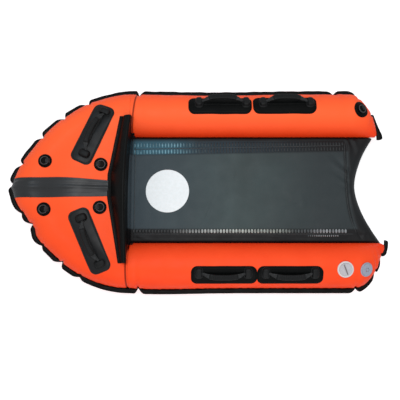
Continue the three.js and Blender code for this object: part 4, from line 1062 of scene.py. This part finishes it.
# %% Sweep a bead along a path
def sweep(name, path_points, sections, up, material, closed=False):
    """Carries a section along a path. Each section holds (aside, up) points in millimetres."""
    path_points = np.asarray(path_points, float)
    if closed:
        run = np.roll(path_points, -1, 0) - np.roll(path_points, 1, 0)
    else:
        run = np.gradient(path_points, axis=0)
    run = unit(run)
    aside = unit(np.cross(np.broadcast_to(np.asarray(up, float), path_points.shape), run))
    lifted = np.cross(run, aside)
    sections = np.broadcast_to(np.asarray(sections, float), (len(path_points), *np.shape(sections)[-2:]))
    rings = path_points[:, None] + aside[:, None] * sections[:, :, :1] + lifted[:, None] * sections[:, :, 1:]
    return loft(name, rings, material, round_trip=closed)


def round_section(half_width, half_height, count=10, power=2.0):
    turn = np.linspace(0, 2 * math.pi, count, endpoint=False)
    c, s = np.cos(turn), np.sin(turn)
    return np.stack([half_width * np.sign(c) * np.abs(c) ** (2 / power),
                     half_height * np.sign(s) * np.abs(s) ** (2 / power)], 1)


def bead_along(name, line, radius, slot, material, sides=8):
    """A round bead along a line, drawn in over the first and last four of its points."""
    from_end = np.minimum(np.arange(len(line)), np.arange(len(line))[::-1])
    draw = np.sqrt(np.clip(from_end / 4 + 0.12, 0, 1))
    sections = round_section(radius, radius, sides) * draw[:, None, None]
    dress(sweep(name, line, sections, (0, 0, 1), material), "hull", slot)


across = np.linspace(-196, 214, 90)
for name, plan, radius in (
        ("deck_starboard_bead", [(x, 188 + ROW_SLANT * x) for x in np.linspace(-290, 652, 220)], 1.3),
        ("deck_port_bead", [(x, -201.5) for x in np.linspace(-288, 690, 220)], 1.3),
        ("deck_front_bead", [(-283, y) for y in across], 1.2),
        ("deck_rear_bead", [(float(panel_rear(y)) - 9, y) for y in across], 1.0)):
    bead_along(name, on_deck(plan, 0.4), radius, "deck_skin", bead_welt)
print("beads laid")

# %% [markdown]
# ## Breakwater
# A padded wedge stands across the bow where the deck begins and keeps water off the rider. Its front
# edge is a flattened V that is glued down with a thin lip, it rises to a rounded ridge, and its back
# stands upright. The section changes a little all the way across, so it is lofted from many sections.
# Piping runs along its front edge and its ridge.

# %% Loft the breakwater
BREAKWATER_HALF, BREAKWATER_FLAT, BREAKWATER_SHIFT = 322.0, 50.0, -11.0
BREAKWATER_DEPTH, BREAKWATER_SWEEP, BREAKWATER_RISE, BREAKWATER_TIP_DROP = 92, 50, 62, 28
RIDGE_ROUND, COVER_BULGE = 8, 8.5
# how far the back stands from the end of the bow, across the board: it bellies forward between the
# tubes, and stands further back to starboard
BACK_PLACES = [-335, -240, -120, 0, 120, 200, 260, 315]
BACK_SHIFTS = [-3, -6, -9, -9.5, -7, -3, 2, 9]


def out_share(y):
    return np.clip(abs(y) - BREAKWATER_FLAT, 0, None) / (BREAKWATER_HALF - BREAKWATER_FLAT)


def breakwater_back(y):
    return BOW_END + float(np.interp(y, BACK_PLACES, BACK_SHIFTS))


def breakwater_ring(y, inset=0.0):
    """One section of the cover, or of the foam where it is inset."""
    front, share = BOW_END - BREAKWATER_DEPTH + BREAKWATER_SWEEP * float(out_share(y)), float(out_share(y))
    back = breakwater_back(y) - inset
    ending = min(1.0, (BREAKWATER_HALF - abs(y - BREAKWATER_SHIFT)) / 3)
    swell = 1.0 if inset else math.sqrt(max(0.0, 1 - (1 - ending) ** 2))
    skin = [level_below(skin_tree, front + step, y, 225) for step in (0, 7, 14)]
    low = skin[2] + 3.0 - inset
    full_rise = BREAKWATER_RISE - BREAKWATER_TIP_DROP * min(share, 1) - 2.4 * inset
    ridge = low + (SEAM_LEVEL + TUBE_R + full_rise - low) * max(swell, 0.05)
    start = front + 14 + 2 * inset
    ring = [] if inset else [(front, skin[0] + 0.1), (front + 0.6, skin[0] + 1.4), (front + 7, skin[1] + 1.9)]
    ring.append((start, low))
    for step in np.linspace(0.12, 0.9, 12):
        ripple = 0.8 * math.sin(y / 37 + 5 * step) * math.sin(math.pi * step)
        bulge = 0 if inset else COVER_BULGE * math.sin(math.pi * step ** 0.8) + ripple
        rise = (ridge - 1.5 - low) * step + bulge * swell
        ring.append((start + (back - 2 * RIDGE_ROUND - start) * step, low + rise))
    for turn in np.linspace(-0.35, 1, 10) * math.pi / 2:
        ring.append((back - RIDGE_ROUND * (1 - math.sin(turn)), ridge - RIDGE_ROUND * (1 - math.cos(turn))))
    bottom = max(DECK_TOP + DECK_CROWN + CLEAR, level_below(skin_tree, back - 0.4, y, 0) - 1.5) + 2 * inset
    bottom = min(bottom, ridge - 10)
    for step in np.linspace(0.12, 1, 8):
        ring.append((back, ridge - RIDGE_ROUND + (bottom - ridge + RIDGE_ROUND) * step))
    return [(x, y, z) for x, z in ring]


ends = np.array([0, 0.1, 0.4, 1.0, 1.9])
wide = np.concatenate([ends - BREAKWATER_HALF, np.linspace(3 - BREAKWATER_HALF, BREAKWATER_HALF - 3, 161),
                       BREAKWATER_HALF - ends[::-1]])
rings = np.array([breakwater_ring(y) for y in BREAKWATER_SHIFT + wide])
breakwater = sheet("breakwater_sheet", rings, black_skin, (-1, 0, 1), 1.5)
dress(breakwater, "hull", "black_skin", "breakwater_cover")
for name, column, lift, radius, limit in (("breakwater_front_piping", 3, 0.2, 1.9, 318),
                                          ("breakwater_ridge_piping", 24, 0.6, 1.6, 316)):
    bead_along(name, rings[np.abs(wide) < limit, column] + (0, 0, lift), radius, "black_skin", black_skin, 10)
print("breakwater", len(breakwater.data.polygons), "faces")

# %% [markdown]
# The foam wedge inside is cut from closed-cell sheet, a little smaller than the cover all round. It is
# lofted from the same sections, and it stays out of sight. In front of the deck, below the breakwater's
# back, a flap of the deck cover is glued up over the end of the bow.

# %% Cut the foam, and lay the flap
FOAM_INSET, FLAP_HALF, FLAP_CLEAR = 3.2, 251, 3
foam_rings = np.array([breakwater_ring(y, FOAM_INSET) for y in BREAKWATER_SHIFT + np.linspace(-317, 317, 60)])
foam = loft("breakwater_foam_wedge", foam_rings, foam_block, smooth=False)
dress(foam, "hull", "foam", "breakwater_foam")

flap_rows = []
for y in with_close_ends(FLAP_HALF, FLAP_HALF - 12, 9, 121):
    row = [(BOW_END + ahead, y, level_below(deck_tree, BOW_END + ahead, y, 112) + lift)
           for ahead, lift in ((14, 0.4), (9, 1.0))]
    # it lies on the round end of the bow, three millimetres clear of its folds
    reach = TUBE_R + FLAP_CLEAR + 0.5
    first = math.asin((row[1][2] + FLAP_CLEAR - SEAM_LEVEL) / reach)
    last = math.acos((breakwater_back(y) - 4 - BOW_END + TUBE_R) / reach)
    for turn in np.linspace(first, last, 12):
        row.append((BOW_END - TUBE_R + reach * math.cos(turn), y, SEAM_LEVEL + reach * math.sin(turn)))
    # at its ends it turns up the sides of the tubes
    flap_rows.append([(x, y, max(z, level_below(skin_tree, x, y, 0) + 1.4)) for x, y, z in row])
flap = sheet("deck_front_flap", np.array(flap_rows), deck_sheet, (0, 0, 1), 0.9)
dress(flap, "hull", "deck_skin")
print("foam", len(foam.data.polygons), "faces, flap", len(flap.data.polygons), "faces")

# %% [markdown]
# ## The strip on the bow
# A black strip covers the join down the middle of the bow, from the breakwater to the nose. It is
# glued over a doubled seam, which shows as a soft ridge with a lower one and a shallow valley beside
# it. The strip goes down over the nose, where a line dropped from above would miss, so there each of
# its points is moved from a smooth guide surface to the nearest point of the skin.

# %% Lay the strip on the bow
STRIP_ASIDE, STRIP_HALF, STRIP_RIM, STRIP_LIFT = -10.0, 43.5, 0.3, 1.5
# (place across the strip, width, height) of the ridges and the valley
STRIP_RIDGES = ((3, 9, 3.4), (26, 9, 1.6), (-20, 5, -0.8))
strip_y = with_close_ends(STRIP_HALF, STRIP_HALF - STRIP_RIM, 2, 61)


def strip_scale(x):
    """The strip gets narrower towards the breakwater."""
    return 1 - 0.2 * np.clip((x + 620) / 230, 0, 1) ** 1.5


def on_bow(x, y):
    return np.array(skin_tree.ray_cast(Vector((x, y, 260)) * MM, Vector((0, 0, -1)), 400 * MM)[0]) / MM


def on_nose(turn, y):
    """A point of the nose, from the bow's top at turn 0 to its edge at a quarter turn."""
    edge = BOW_LENGTH * (1 - (abs(y) / OUTER_Y) ** BOW_NOSE_FULLNESS) ** (1 / BOW_SIDE_FULLNESS)
    x = BOW_END - edge + TUBE_R * (1 - math.sin(turn))
    z = seam_height(x) + TUBE_R * math.cos(turn) * nose_thinning(x)
    above = Vector((-math.sin(turn), 0, math.cos(turn))) * 2
    return np.array(skin_tree.find_nearest((Vector((x, y, float(z))) + above) * MM)[0]) / MM


laid = []
top_length = BOW_LENGTH - BREAKWATER_DEPTH + 5 - TUBE_R
for x in BOW_END - BREAKWATER_DEPTH + 5 - np.linspace(0, top_length, 110):
    laid.append([on_bow(x, y) for y in strip_y * float(strip_scale(x)) + STRIP_ASIDE])
for turn in np.linspace(0, math.pi / 2, 40)[1:]:
    laid.append([on_nose(turn, y) for y in strip_y + STRIP_ASIDE])
laid = np.array(laid)
for _ in range(3):
    laid[1:-1, 1:-1] = (laid[1:-1, 1:-1] * 2 + laid[:-2, 1:-1] + laid[2:, 1:-1]) / 4
row_number = np.arange(len(laid))[:, None]
waver = 1 + 0.25 * np.sin(row_number / 9) + 0.15 * np.sin(row_number / 4.1 + 1)
ridges = sum(height * dip(strip_y, place, width) for place, width, height in STRIP_RIDGES)
rim_drop = np.where(np.abs(strip_y) > STRIP_HALF - 0.2, -1.3, 0.0)
laid = laid + grid_normals(laid) * (STRIP_LIFT + ridges * waver + rim_drop)[:, :, None]
strip = sheet("bow_centre_strip_sheet", laid, strip_rubber, (0, 0, 1), 1.2)
dress(strip, "hull", "black_skin", "bow_centre_strip")

# %% [markdown]
# ## Frames for the fittings
# A handle or ring tips about a joint, so its joint gives its place and the line that it tips about. The
# packed grip or ring shows which way it leans. From these come three axes: along the line, sideways
# over the skin, and out of the skin. Everything on one fitting is drawn in its own millimetres.

# %% Work out a fitting's axes
def joint_axis(name):
    return unit(np.array(joints[name]["axis"], float))


def joint_place(name):
    """A point on a turning joint's line, and the line's direction. A sliding joint has no such point."""
    return np.array(joints[name]["pos_m"], float) / MM, joint_axis(name)


def node_points(name):
    return np.array([tuple(v.co) for v in frame["nodes"][name].data.vertices]) / MM


def fitting_axes(joint_name, node, lean_degrees):
    """Origin on the joint's line, and rows along it, sideways and out of the skin."""
    place, line = joint_place(joint_name)
    towards = node_points(node).mean(0) - place
    towards = unit(towards - line * (towards @ line))
    out = unit(np.array(Quaternion(Vector(line), math.radians(lean_degrees)) @ Vector(towards)))
    return place, np.stack([line, np.cross(out, line), out])


def placed(points, place, axes):
    return place + np.asarray(points, float) @ axes


print("first handle at", np.round(joint_place("bow_starboard_handle_tip")[0]), "mm")

# %% [markdown]
# ### Patches
# A patch is a sheet of coated fabric glued to the skin. It is drawn as rings, from its middle line out
# to its rim, and each point is dropped on the skin along the patch's own axis. A stiff patch bridges
# small folds, so its surface is smoothed, but never sinks into the skin. A shallow groove runs round
# it just inside the rim, and the rim is rounded down to the skin.

# %% Lay the patches
def skin_height(place, axes, plan):
    """Height of the skin over the fitting's own plane at each point of a plan."""
    heights = []
    for x, y in plan:
        hit = skin_tree.ray_cast(Vector(placed((x, y, 60), place, axes)) * MM, Vector(-axes[2]), 160 * MM)
        if hit[0] is None:
            hit = skin_tree.find_nearest(Vector(placed((x, y, 0), place, axes)) * MM)
        heights.append((np.array(hit[0]) / MM - place) @ axes[2])
    return np.array(heights)


def even_loop(corners, count):
    """Points evenly spaced along a closed loop in a plane."""
    run = np.concatenate([[0], np.cumsum(np.hypot(*np.diff(corners, axis=0).T))])
    even = np.linspace(0, run[-1], count, endpoint=False)
    return np.stack([np.interp(even, run, corners[:, 0]), np.interp(even, run, corners[:, 1])], 1)


def rim_outline(length, width, corner, count=120):
    """A rectangle with round corners."""
    turn = np.linspace(0, math.pi / 2, 9)
    quarter = [(length / 2 - corner + corner * math.cos(t), width / 2 - corner + corner * math.sin(t))
               for t in turn]
    half = quarter + [(-x, y) for x, y in quarter[::-1]]
    return even_loop(np.array(half + [(-x, -y) for x, y in half] + [half[0]]), count)


PATCH_THICK, PATCH_SMOOTHING = 2.0, 12
# (distance in from the rim, share of the thickness) across the groove and over the rounded rim
GROOVE_STEPS = ((1.4, 0.8), (0.6, 0.45), (-0.2, 0.45), (-1.0, 0.85))
RIM_STEPS = ((2.2, 1.05), (1.0, 0.95), (0.3, 0.65), (0, 0.3), (0, -0.4))


def patch_piece(name, place, axes, outline, foot_half, material, shift, groove=5.0):
    """A patch whose rings shrink towards its middle line, foot_half to each side of its middle."""
    foot = np.stack([np.clip(outline[:, 0], -foot_half, foot_half), 0 * outline[:, 1]], 1)
    reach = float(np.median(np.hypot(*(outline - foot).T)))
    rings = [(share, 1.0) for share in np.linspace(0, 1 - (groove + 2.5) / reach, 8)]
    rings += [(1 - (groove + inwards) / reach, lift) for inwards, lift in GROOVE_STEPS]
    rings += [(1 - inwards / reach, lift) for inwards, lift in RIM_STEPS]
    plans = [foot + (outline - foot) * share + np.array(shift) for share, _ in rings]
    raw = np.stack([skin_height(place, axes, plan) for plan in plans])
    eased = raw.copy()
    for _ in range(PATCH_SMOOTHING):
        around = (np.roll(eased, 1, 1) + np.roll(eased, -1, 1)) / 2
        through = eased.copy()
        through[1:-1] = (eased[2:] + eased[:-2]) / 2
        eased = 0.5 * eased + 0.25 * around + 0.25 * through
    height = np.maximum(eased, raw) + np.array([lift for _, lift in rings])[:, None] * PATCH_THICK
    height[-1] = raw[-1] - 0.4
    grid = placed(np.concatenate([np.stack(plans), height[:, :, None]], 2), place, axes)
    return sheet(name, grid, material, axes[2], 1.0, join_columns=True)


HANDLES = [f"{spot}_{side}_handle" for spot in ("bow", "mid", "aft") for side in ("starboard", "port")]
RINGS = [f"{spot}_{side}_ring" for spot in ("bow", "breakwater") for side in ("starboard", "port")]
RINGS.append("tail_starboard_ring")
LEAN, PATCH_CORNER = 45.0, 27
# length, width, and how far the patch lies off the middle of its loop along the board and across it
PATCH_SIZES = {"bow_starboard": (282, 95, -8, -5), "bow_port": (289, 93, -5, -1),
               "mid_starboard": (281, 82, -11, -12), "aft_starboard": (281, 82, -9, -12),
               "mid_port": (281, 82, 2, -12), "aft_port": (281, 82, -1, -12)}
axes_of = {}
for handle in HANDLES:
    place, axes = axes_of[handle] = fitting_axes(f"{handle}_tip", f"{handle}_grip", LEAN)
    length, width, *off_centre = PATCH_SIZES[handle.removesuffix("_handle")]
    patch = patch_piece(f"{handle}_patch_sheet", place, axes, rim_outline(length, width, PATCH_CORNER),
                        (length - width) / 2, patch_skin if handle.startswith("bow") else side_patch_skin,
                        axes[:2, :2] @ off_centre)
    dress(patch, "hull", "black_skin", f"{handle}_patch")
    print(handle, "patch", len(patch.data.polygons), "faces")

# %% [markdown]
# ### Handle loops
# Each loop is a length of flat webbing that arches from one keeper to the other, with a padded rubber
# sleeve over its middle. The sleeve is moulded with shallow ribs across it for grip. The webbing goes
# into a low moulded dome at each end. The arch is an even rise that falls away fast near its ends,
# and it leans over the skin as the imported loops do.

# %% Make the loops
SPAN, BOW_RISE, SIDE_RISE, STRAP_LEAN = 88.0, 24.0, 19.0, 12
STRAP_END, SLEEVE_HALF, SLEEVE_PITCH = 8, 60.5, 8.0


def arch(share, tallest):
    rise, lean = tallest * (1 - np.abs(share) ** 3), math.radians(LEAN)
    return np.stack([share * SPAN, rise * math.sin(lean), rise * math.cos(lean)], -1)


def loop_piece(name, place, axes, centres, half_widths, half_heights, power, material, sides):
    run = unit(np.gradient(centres, axis=0))
    # the flat of the strap leans with the loop too, but less
    flat = np.array([0.0, math.cos(math.radians(STRAP_LEAN)), math.sin(math.radians(STRAP_LEAN))])
    aside = unit(flat - run * (run @ flat)[:, None])
    up = np.cross(run, aside)
    section = round_section(1, 1, sides, power)
    rings = (centres[:, None] + aside[:, None] * section[None, :, :1] * half_widths[:, None, None]
             + up[:, None] * section[None, :, 1:] * half_heights[:, None, None])
    return loft(name, placed(rings, place, axes), material)


def sleeve_sizes(x):
    """Half width and half height of the sleeve along its length, with its ribs and rounded ends."""
    end = np.clip((SLEEVE_HALF - np.abs(x)) / 7, 0, 1)
    close = np.sqrt(1 - (1 - end) ** 2)
    rib = 0.55 * np.cos(x * FULL_TURN / SLEEVE_PITCH) * np.clip((50 - np.abs(x)) / 4, 0, 1)
    return (9.6 + 2.2 * close) + 0.5 * rib, (2.4 + 4.2 * close) + rib


def body_of(node):
    return next(name for name, nodes in frame["record"]["behaviour"]["bodies"].items() if node in nodes)


shares = np.linspace(-1, 1, 81)
spread = np.clip((1 - np.abs(np.concatenate([[-1], shares, [1]]))) / 0.35, 0, 1)
x = np.linspace(-SLEEVE_HALF, SLEEVE_HALF, 150)
for handle in HANDLES:
    tallest = BOW_RISE if handle.startswith("bow") else SIDE_RISE
    centres = np.concatenate([[arch(-1, tallest) - (STRAP_END, 0, 0)], arch(shares, tallest),
                              [arch(1, tallest) + (STRAP_END, 0, 0)]])
    strap = loop_piece(f"{handle}_strap", *axes_of[handle], centres, 4 + 7 * spread, 3.4 - 1.9 * spread, 6,
                       webbing, 16)
    dress(strap, body_of(f"{handle}_grip"), "webbing", f"{handle}_webbing")
    sleeve = loop_piece(f"{handle}_sleeve", *axes_of[handle], arch(x / SPAN, tallest), *sleeve_sizes(x), 3.2,
                        grip_rubber, 24)
    dress(sleeve, body_of(f"{handle}_grip"), "grip_rubber", f"{handle}_grip")
print("loops", len(HANDLES), "with", len(sleeve.data.polygons), "faces in a sleeve")

# %% [markdown]
# ### Keepers
# The keeper at each end of a loop is a low dome moulded in rubber, with a flange round its foot and a
# slot that the webbing goes into. A superellipse gives its soft, nearly square plan.

# %% Mould the keepers
# half a keeper's length along the strap, and the gap between it and the end of the loop's span
KEEPER_HALF, KEEPER_GAP = 16, 0.3
# the slot: how deep and half how wide it is, and the heights where it begins and ends
SLOT_DEPTH, SLOT_HALF, SLOT_FOOT, SLOT_TOP = 3.0, 13.5, -5.8, 4.0
# (half length, half width, height) of each ring. The first four stand on the skin, at these heights
KEEPER_FEET = ((19.5, 26, -1), (19.5, 26, 1.6), (18.6, 25.2, 3.0), (16.8, 23.6, 3.6))
KEEPER_DOME = ((15.9, 22.6, -5.4), (15.4, 22, -2), (14.8, 21.2, 1.5), (13.4, 19.4, 3.8), (11, 16.4, 5.3),
               (7, 10.6, 6.1), (2, 3, 6.4))


def keeper_piece(name, place, axes, end):
    plan, middle = round_section(1, 1, 48, 3.0), (end * (SPAN + KEEPER_GAP + KEEPER_HALF), 0)
    rings = np.array([[(x, y, height) for x, y in plan * (length, width) + middle]
                      for length, width, height in KEEPER_FEET + KEEPER_DOME])
    ground = skin_height(place, axes, rings[1][:, :2])
    rings[:len(KEEPER_FEET), :, 2] += ground
    x, y, z = np.moveaxis(rings, 2, 0)
    slot = dip(x, end * (SPAN + 1), 3.5) * (np.abs(y) < SLOT_HALF) * (z > SLOT_FOOT) * (z < SLOT_TOP)
    rings[:, :, 0] += end * SLOT_DEPTH * slot
    return loft(name, placed(rings, place, axes), grip_rubber)


for handle in HANDLES:
    for end, word in ((-1, "first"), (1, "second")):
        keeper = keeper_piece(f"{handle}_{word}_keeper", *axes_of[handle], end)
        dress(keeper, "hull", "grip_rubber")
print("keepers", 2 * len(HANDLES), "each of", len(keeper.data.polygons), "faces")

# %% [markdown]
# ## Lashing rings
# Each lashing ring hangs in a short tab of webbing on a round glued patch. The ring is a bent D: a
# straight bar inside the tab, two tight bends and a wide bow. Its middle line is drawn with a straight
# line and an arc, smoothed, and a round section is carried round it.

# %% Bend the rings and lay their patches
RING_MIDDLE, RING_R, RING_WIRE, BAR_HALF = 13.0, 17.0, 2.5, 12.5
RING_PATCH, TAIL_RING_PATCH, RING_PATCH_SHIFT = 59.0, 74.0, (0, 12)
TAB_WIDTH, TAB_THICK, TAB_ARC = 9.8, 0.8, (5.4, 4.2)
# each end of the tab goes under the patch through these two places, aside and up
TAB_ENDS = ((9.5, -5.6), (6.6, -4.4))


def ring_line(count=96):
    start = math.radians(10) - math.asin(RING_MIDDLE / RING_R)
    turn = np.linspace(start, math.pi - start, 60)
    wide_bow = np.stack([RING_R * np.cos(turn), RING_MIDDLE + RING_R * np.sin(turn)], 1)
    bar = np.stack([np.linspace(-BAR_HALF, BAR_HALF, 12), np.zeros(12)], 1)
    line = even_loop(np.concatenate([wide_bow, bar, wide_bow[:1]]), count)
    for _ in range(2):
        line = (np.roll(line, 1, 0) + 2 * line + np.roll(line, -1, 0)) / 4
    return np.concatenate([line, np.zeros((count, 1))], 1)


def tab_piece(name, place, axes):
    """A strap of webbing laid over the bar, with both ends going under the patch."""
    turn = np.linspace(0, math.pi, 13)
    arc = np.stack([TAB_ARC[0] * np.cos(turn), TAB_ARC[1] * np.sin(turn)], 1)
    centre = np.concatenate([TAB_ENDS, arc, [(-y, z) for y, z in TAB_ENDS[::-1]]])
    path_points = np.stack([0 * centre[:, 0], centre[:, 0], centre[:, 1]], 1)
    section = round_section(TAB_THICK, TAB_WIDTH, 16, 6)
    along = np.array([1.0, 0, 0])
    aside = np.cross(unit(np.gradient(path_points, axis=0)), along)
    rings = path_points[:, None] + aside[:, None] * section[None, :, :1] + along * section[None, :, 1:]
    return loft(name, placed(rings, place, axes), webbing)


for ring in RINGS:
    place, (line, _, sideways) = fitting_axes(f"{ring}_tip", ring, 0)
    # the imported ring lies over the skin, so its own lean is sideways, and out of the skin is square to it
    out = np.cross(line, sideways)
    axes = np.stack([line, sideways, out if out[2] > 0 else -out])
    diameter = TAIL_RING_PATCH if ring.startswith("tail") else RING_PATCH
    patch = patch_piece(f"{ring}_patch_sheet", place, axes, circle[::2] * diameter / 2, 0, side_patch_skin,
                        RING_PATCH_SHIFT, groove=6)
    dress(patch, "hull", "black_skin", f"{ring}_patch")
    d_ring = sweep(f"{ring}_loop", placed(ring_line(), place, axes), round_section(RING_WIRE, RING_WIRE, 14),
                   axes[2], black_plastic, closed=True)
    dress(d_ring, body_of(ring), "black_plastic", ring)
    dress(tab_piece(f"{ring}_tab_strap", place, axes), "hull", "webbing", f"{ring}_tab")
    print(ring, np.round(place), "mm")

# %% [markdown]
# ## Valves
# Both valves are moulded in pale grey plastic and clamp the port tail's skin between their flange and a
# nut inside. The larger one fills the board: its cap has a finger bar across it. The smaller one lets
# air out above a set pressure through holes under its cover. A lathe profile turned round the valve's
# axis gives each flange and cap with smooth, slightly rounded edges.

# %% Turn the valves
LATHE_SIDES = 96


def lathe(name, place, axes, profile, material):
    """Turns (radius, height) points round the valve's axis."""
    turn = np.linspace(0, 2 * math.pi, LATHE_SIDES, endpoint=False)
    rings = np.stack([np.stack([r * np.cos(turn), r * np.sin(turn), np.full(LATHE_SIDES, float(z))], 1)
                      for r, z in profile])
    faces = grid_faces(*rings.shape[:2], join_columns=True)
    return tidy_mesh(make_piece(name, placed(rings, place, axes).reshape(-1, 3), faces, material))


def valve_axes(joint_name):
    """Axes along the board, across it and out of the skin."""
    out = joint_axis(joint_name)
    along = unit(np.array([1.0, 0, 0]) - out * out[0])
    return np.stack([along, np.cross(out, along), out])


def rounded_profile(points, radius, steps=3):
    """Cuts each corner of a profile with a short curve."""
    points = [np.array(point, float) for point in points]
    out = [points[0]]
    for before, corner, after in zip(points, points[1:], points[2:]):
        cut = min(radius, np.linalg.norm(before - corner) / 2.2, np.linalg.norm(after - corner) / 2.2)
        first, last = corner + unit(before - corner) * cut, corner + unit(after - corner) * cut
        for share in np.linspace(0, 1, steps + 1):
            out.append((1 - share) ** 2 * first + 2 * share * (1 - share) * corner + share ** 2 * last)
    return out + [points[-1]]


inflation_place, inflation_axes = joint_place("inflation_cap_turn")[0], valve_axes("inflation_cap_turn")
flange_profile = rounded_profile([(20, -40), (20, -3.4), (35, -3.4), (35, -1.2), (32.5, 1.6), (27.6, 2.0),
                                  (27.6, 0.0), (15, 0.0), (15, -36), (19, -39.9)], 0.8)
flange = lathe("inflation_valve_flange", inflation_place, inflation_axes, flange_profile + flange_profile[:1],
               rim_plastic)
dress(flange, "hull", "grey_plastic", "inflation_valve_body")
cap_profile = rounded_profile([(0, 0.3), (27, 0.3), (27, 4.4), (25.6, 5.0), (23.4, 5.0), (22.8, 4.2),
                               (21.4, 4.0), (0, 4.0)], 0.7)
cap = lathe("inflation_cap_disc", inflation_place, inflation_axes, cap_profile, grey_plastic)
dress(cap, "inflation_cap", "grey_plastic", "inflation_valve_cap")

RELIEF_SEAT = np.array([718.08, -359.22, 194.13])
relief_axes = valve_axes("relief_poppet_lift")
body_profile = rounded_profile([(15, -30), (15, -2.9), (31, -2.9), (31, -1.4), (29, 1.4), (26.8, 2.0),
                                (26.8, 0.1), (11.5, 0.1), (11.5, -26), (14.6, -29.9)], 0.7)
relief_flange = lathe("relief_valve_flange", RELIEF_SEAT, relief_axes, body_profile + body_profile[:1],
                      relief_plastic)
dress(relief_flange, "hull", "grey_plastic", "relief_valve_body")
for node, material in (("inflation_valve_nut", grey_plastic), ("relief_valve_nut", grey_plastic),
                       ("relief_valve_cover", relief_plastic), ("inflation_valve_plunger", black_plastic),
                       ("relief_valve_poppet", black_plastic)):
    for holder in frame["nodes"][node].material_slots:
        holder.material = material
print("valves at", np.round(inflation_place), np.round(RELIEF_SEAT), "mm")

# %% [markdown]
# The cap's finger bar is a rounded ridge that stands across the cap, coloured a little darker than it
# as painted shade. Its ends are drawn in, so that a finger can get hold of it from either side.

# %% Add the finger bar
FINGER_BAR_HALF, BAR_WIDTH, BAR_HEIGHT, BAR_MIDDLE = 23, 2.2, 2.4, 5.6
bar_turn = math.radians(111)
along, across, out = inflation_axes
bar_axes = np.stack([along * math.cos(bar_turn) + across * math.sin(bar_turn),
                     across * math.cos(bar_turn) - along * math.sin(bar_turn), out])
stations = np.linspace(-FINGER_BAR_HALF, FINGER_BAR_HALF, 33)
draw = np.sqrt(np.clip(1 - (np.abs(stations) / (FINGER_BAR_HALF + 0.2)) ** 8, 0.02, 1))
section = round_section(1, 1, 16, 3.5)
rings = np.array([[(x, y * BAR_WIDTH * d, BAR_MIDDLE + z * BAR_HEIGHT * d) for y, z in section]
                  for x, d in zip(stations, draw)])
finger_bar = loft("inflation_cap_bar", placed(rings, inflation_place, bar_axes), bar_plastic)
dress(finger_bar, "inflation_cap", "grey_plastic")
print("finger bar", len(finger_bar.data.polygons), "faces")

# %% [markdown]
# A coil spring stands under the plunger and another over the poppet. The imported springs are coarse and
# stiff, so each is wound again from round wire between the same two seats.

# %% Wind the springs
SPRING_WIRE, SPRING_TURNS = 0.9, 4


def wound_spring(node, joint, seat):
    axis, travel = joint_axis(joint), np.abs(joints[joint]["range_m"]).max() / MM
    corners = node_points(node)
    levels, foot = corners @ axis, seat - axis * (seat @ axis)
    low, high = levels.min() + SPRING_WIRE, levels.max() - SPRING_WIRE
    reach = np.linalg.norm(corners - foot - levels[:, None] * axis, axis=1)
    radius = (reach.min() + reach.max()) / 2
    first = unit(np.cross(axis, [0.0, 1.0, 0.0]))
    turn = np.linspace(0, 2 * math.pi * SPRING_TURNS, 24 * SPRING_TURNS + 1)
    line = (foot + radius * (np.cos(turn)[:, None] * first + np.sin(turn)[:, None] * np.cross(axis, first))
            + np.linspace(low, high, len(turn))[:, None] * axis)
    spring = sweep(f"{node}_coil", line, round_section(SPRING_WIRE, SPRING_WIRE, 10), axis, spring_steel)
    dress(spring, "hull", "spring_steel", node)
    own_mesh(spring)


wound_spring("inflation_valve_spring", "inflation_plunger_slide", inflation_place)
wound_spring("relief_valve_spring", "relief_poppet_lift", RELIEF_SEAT)
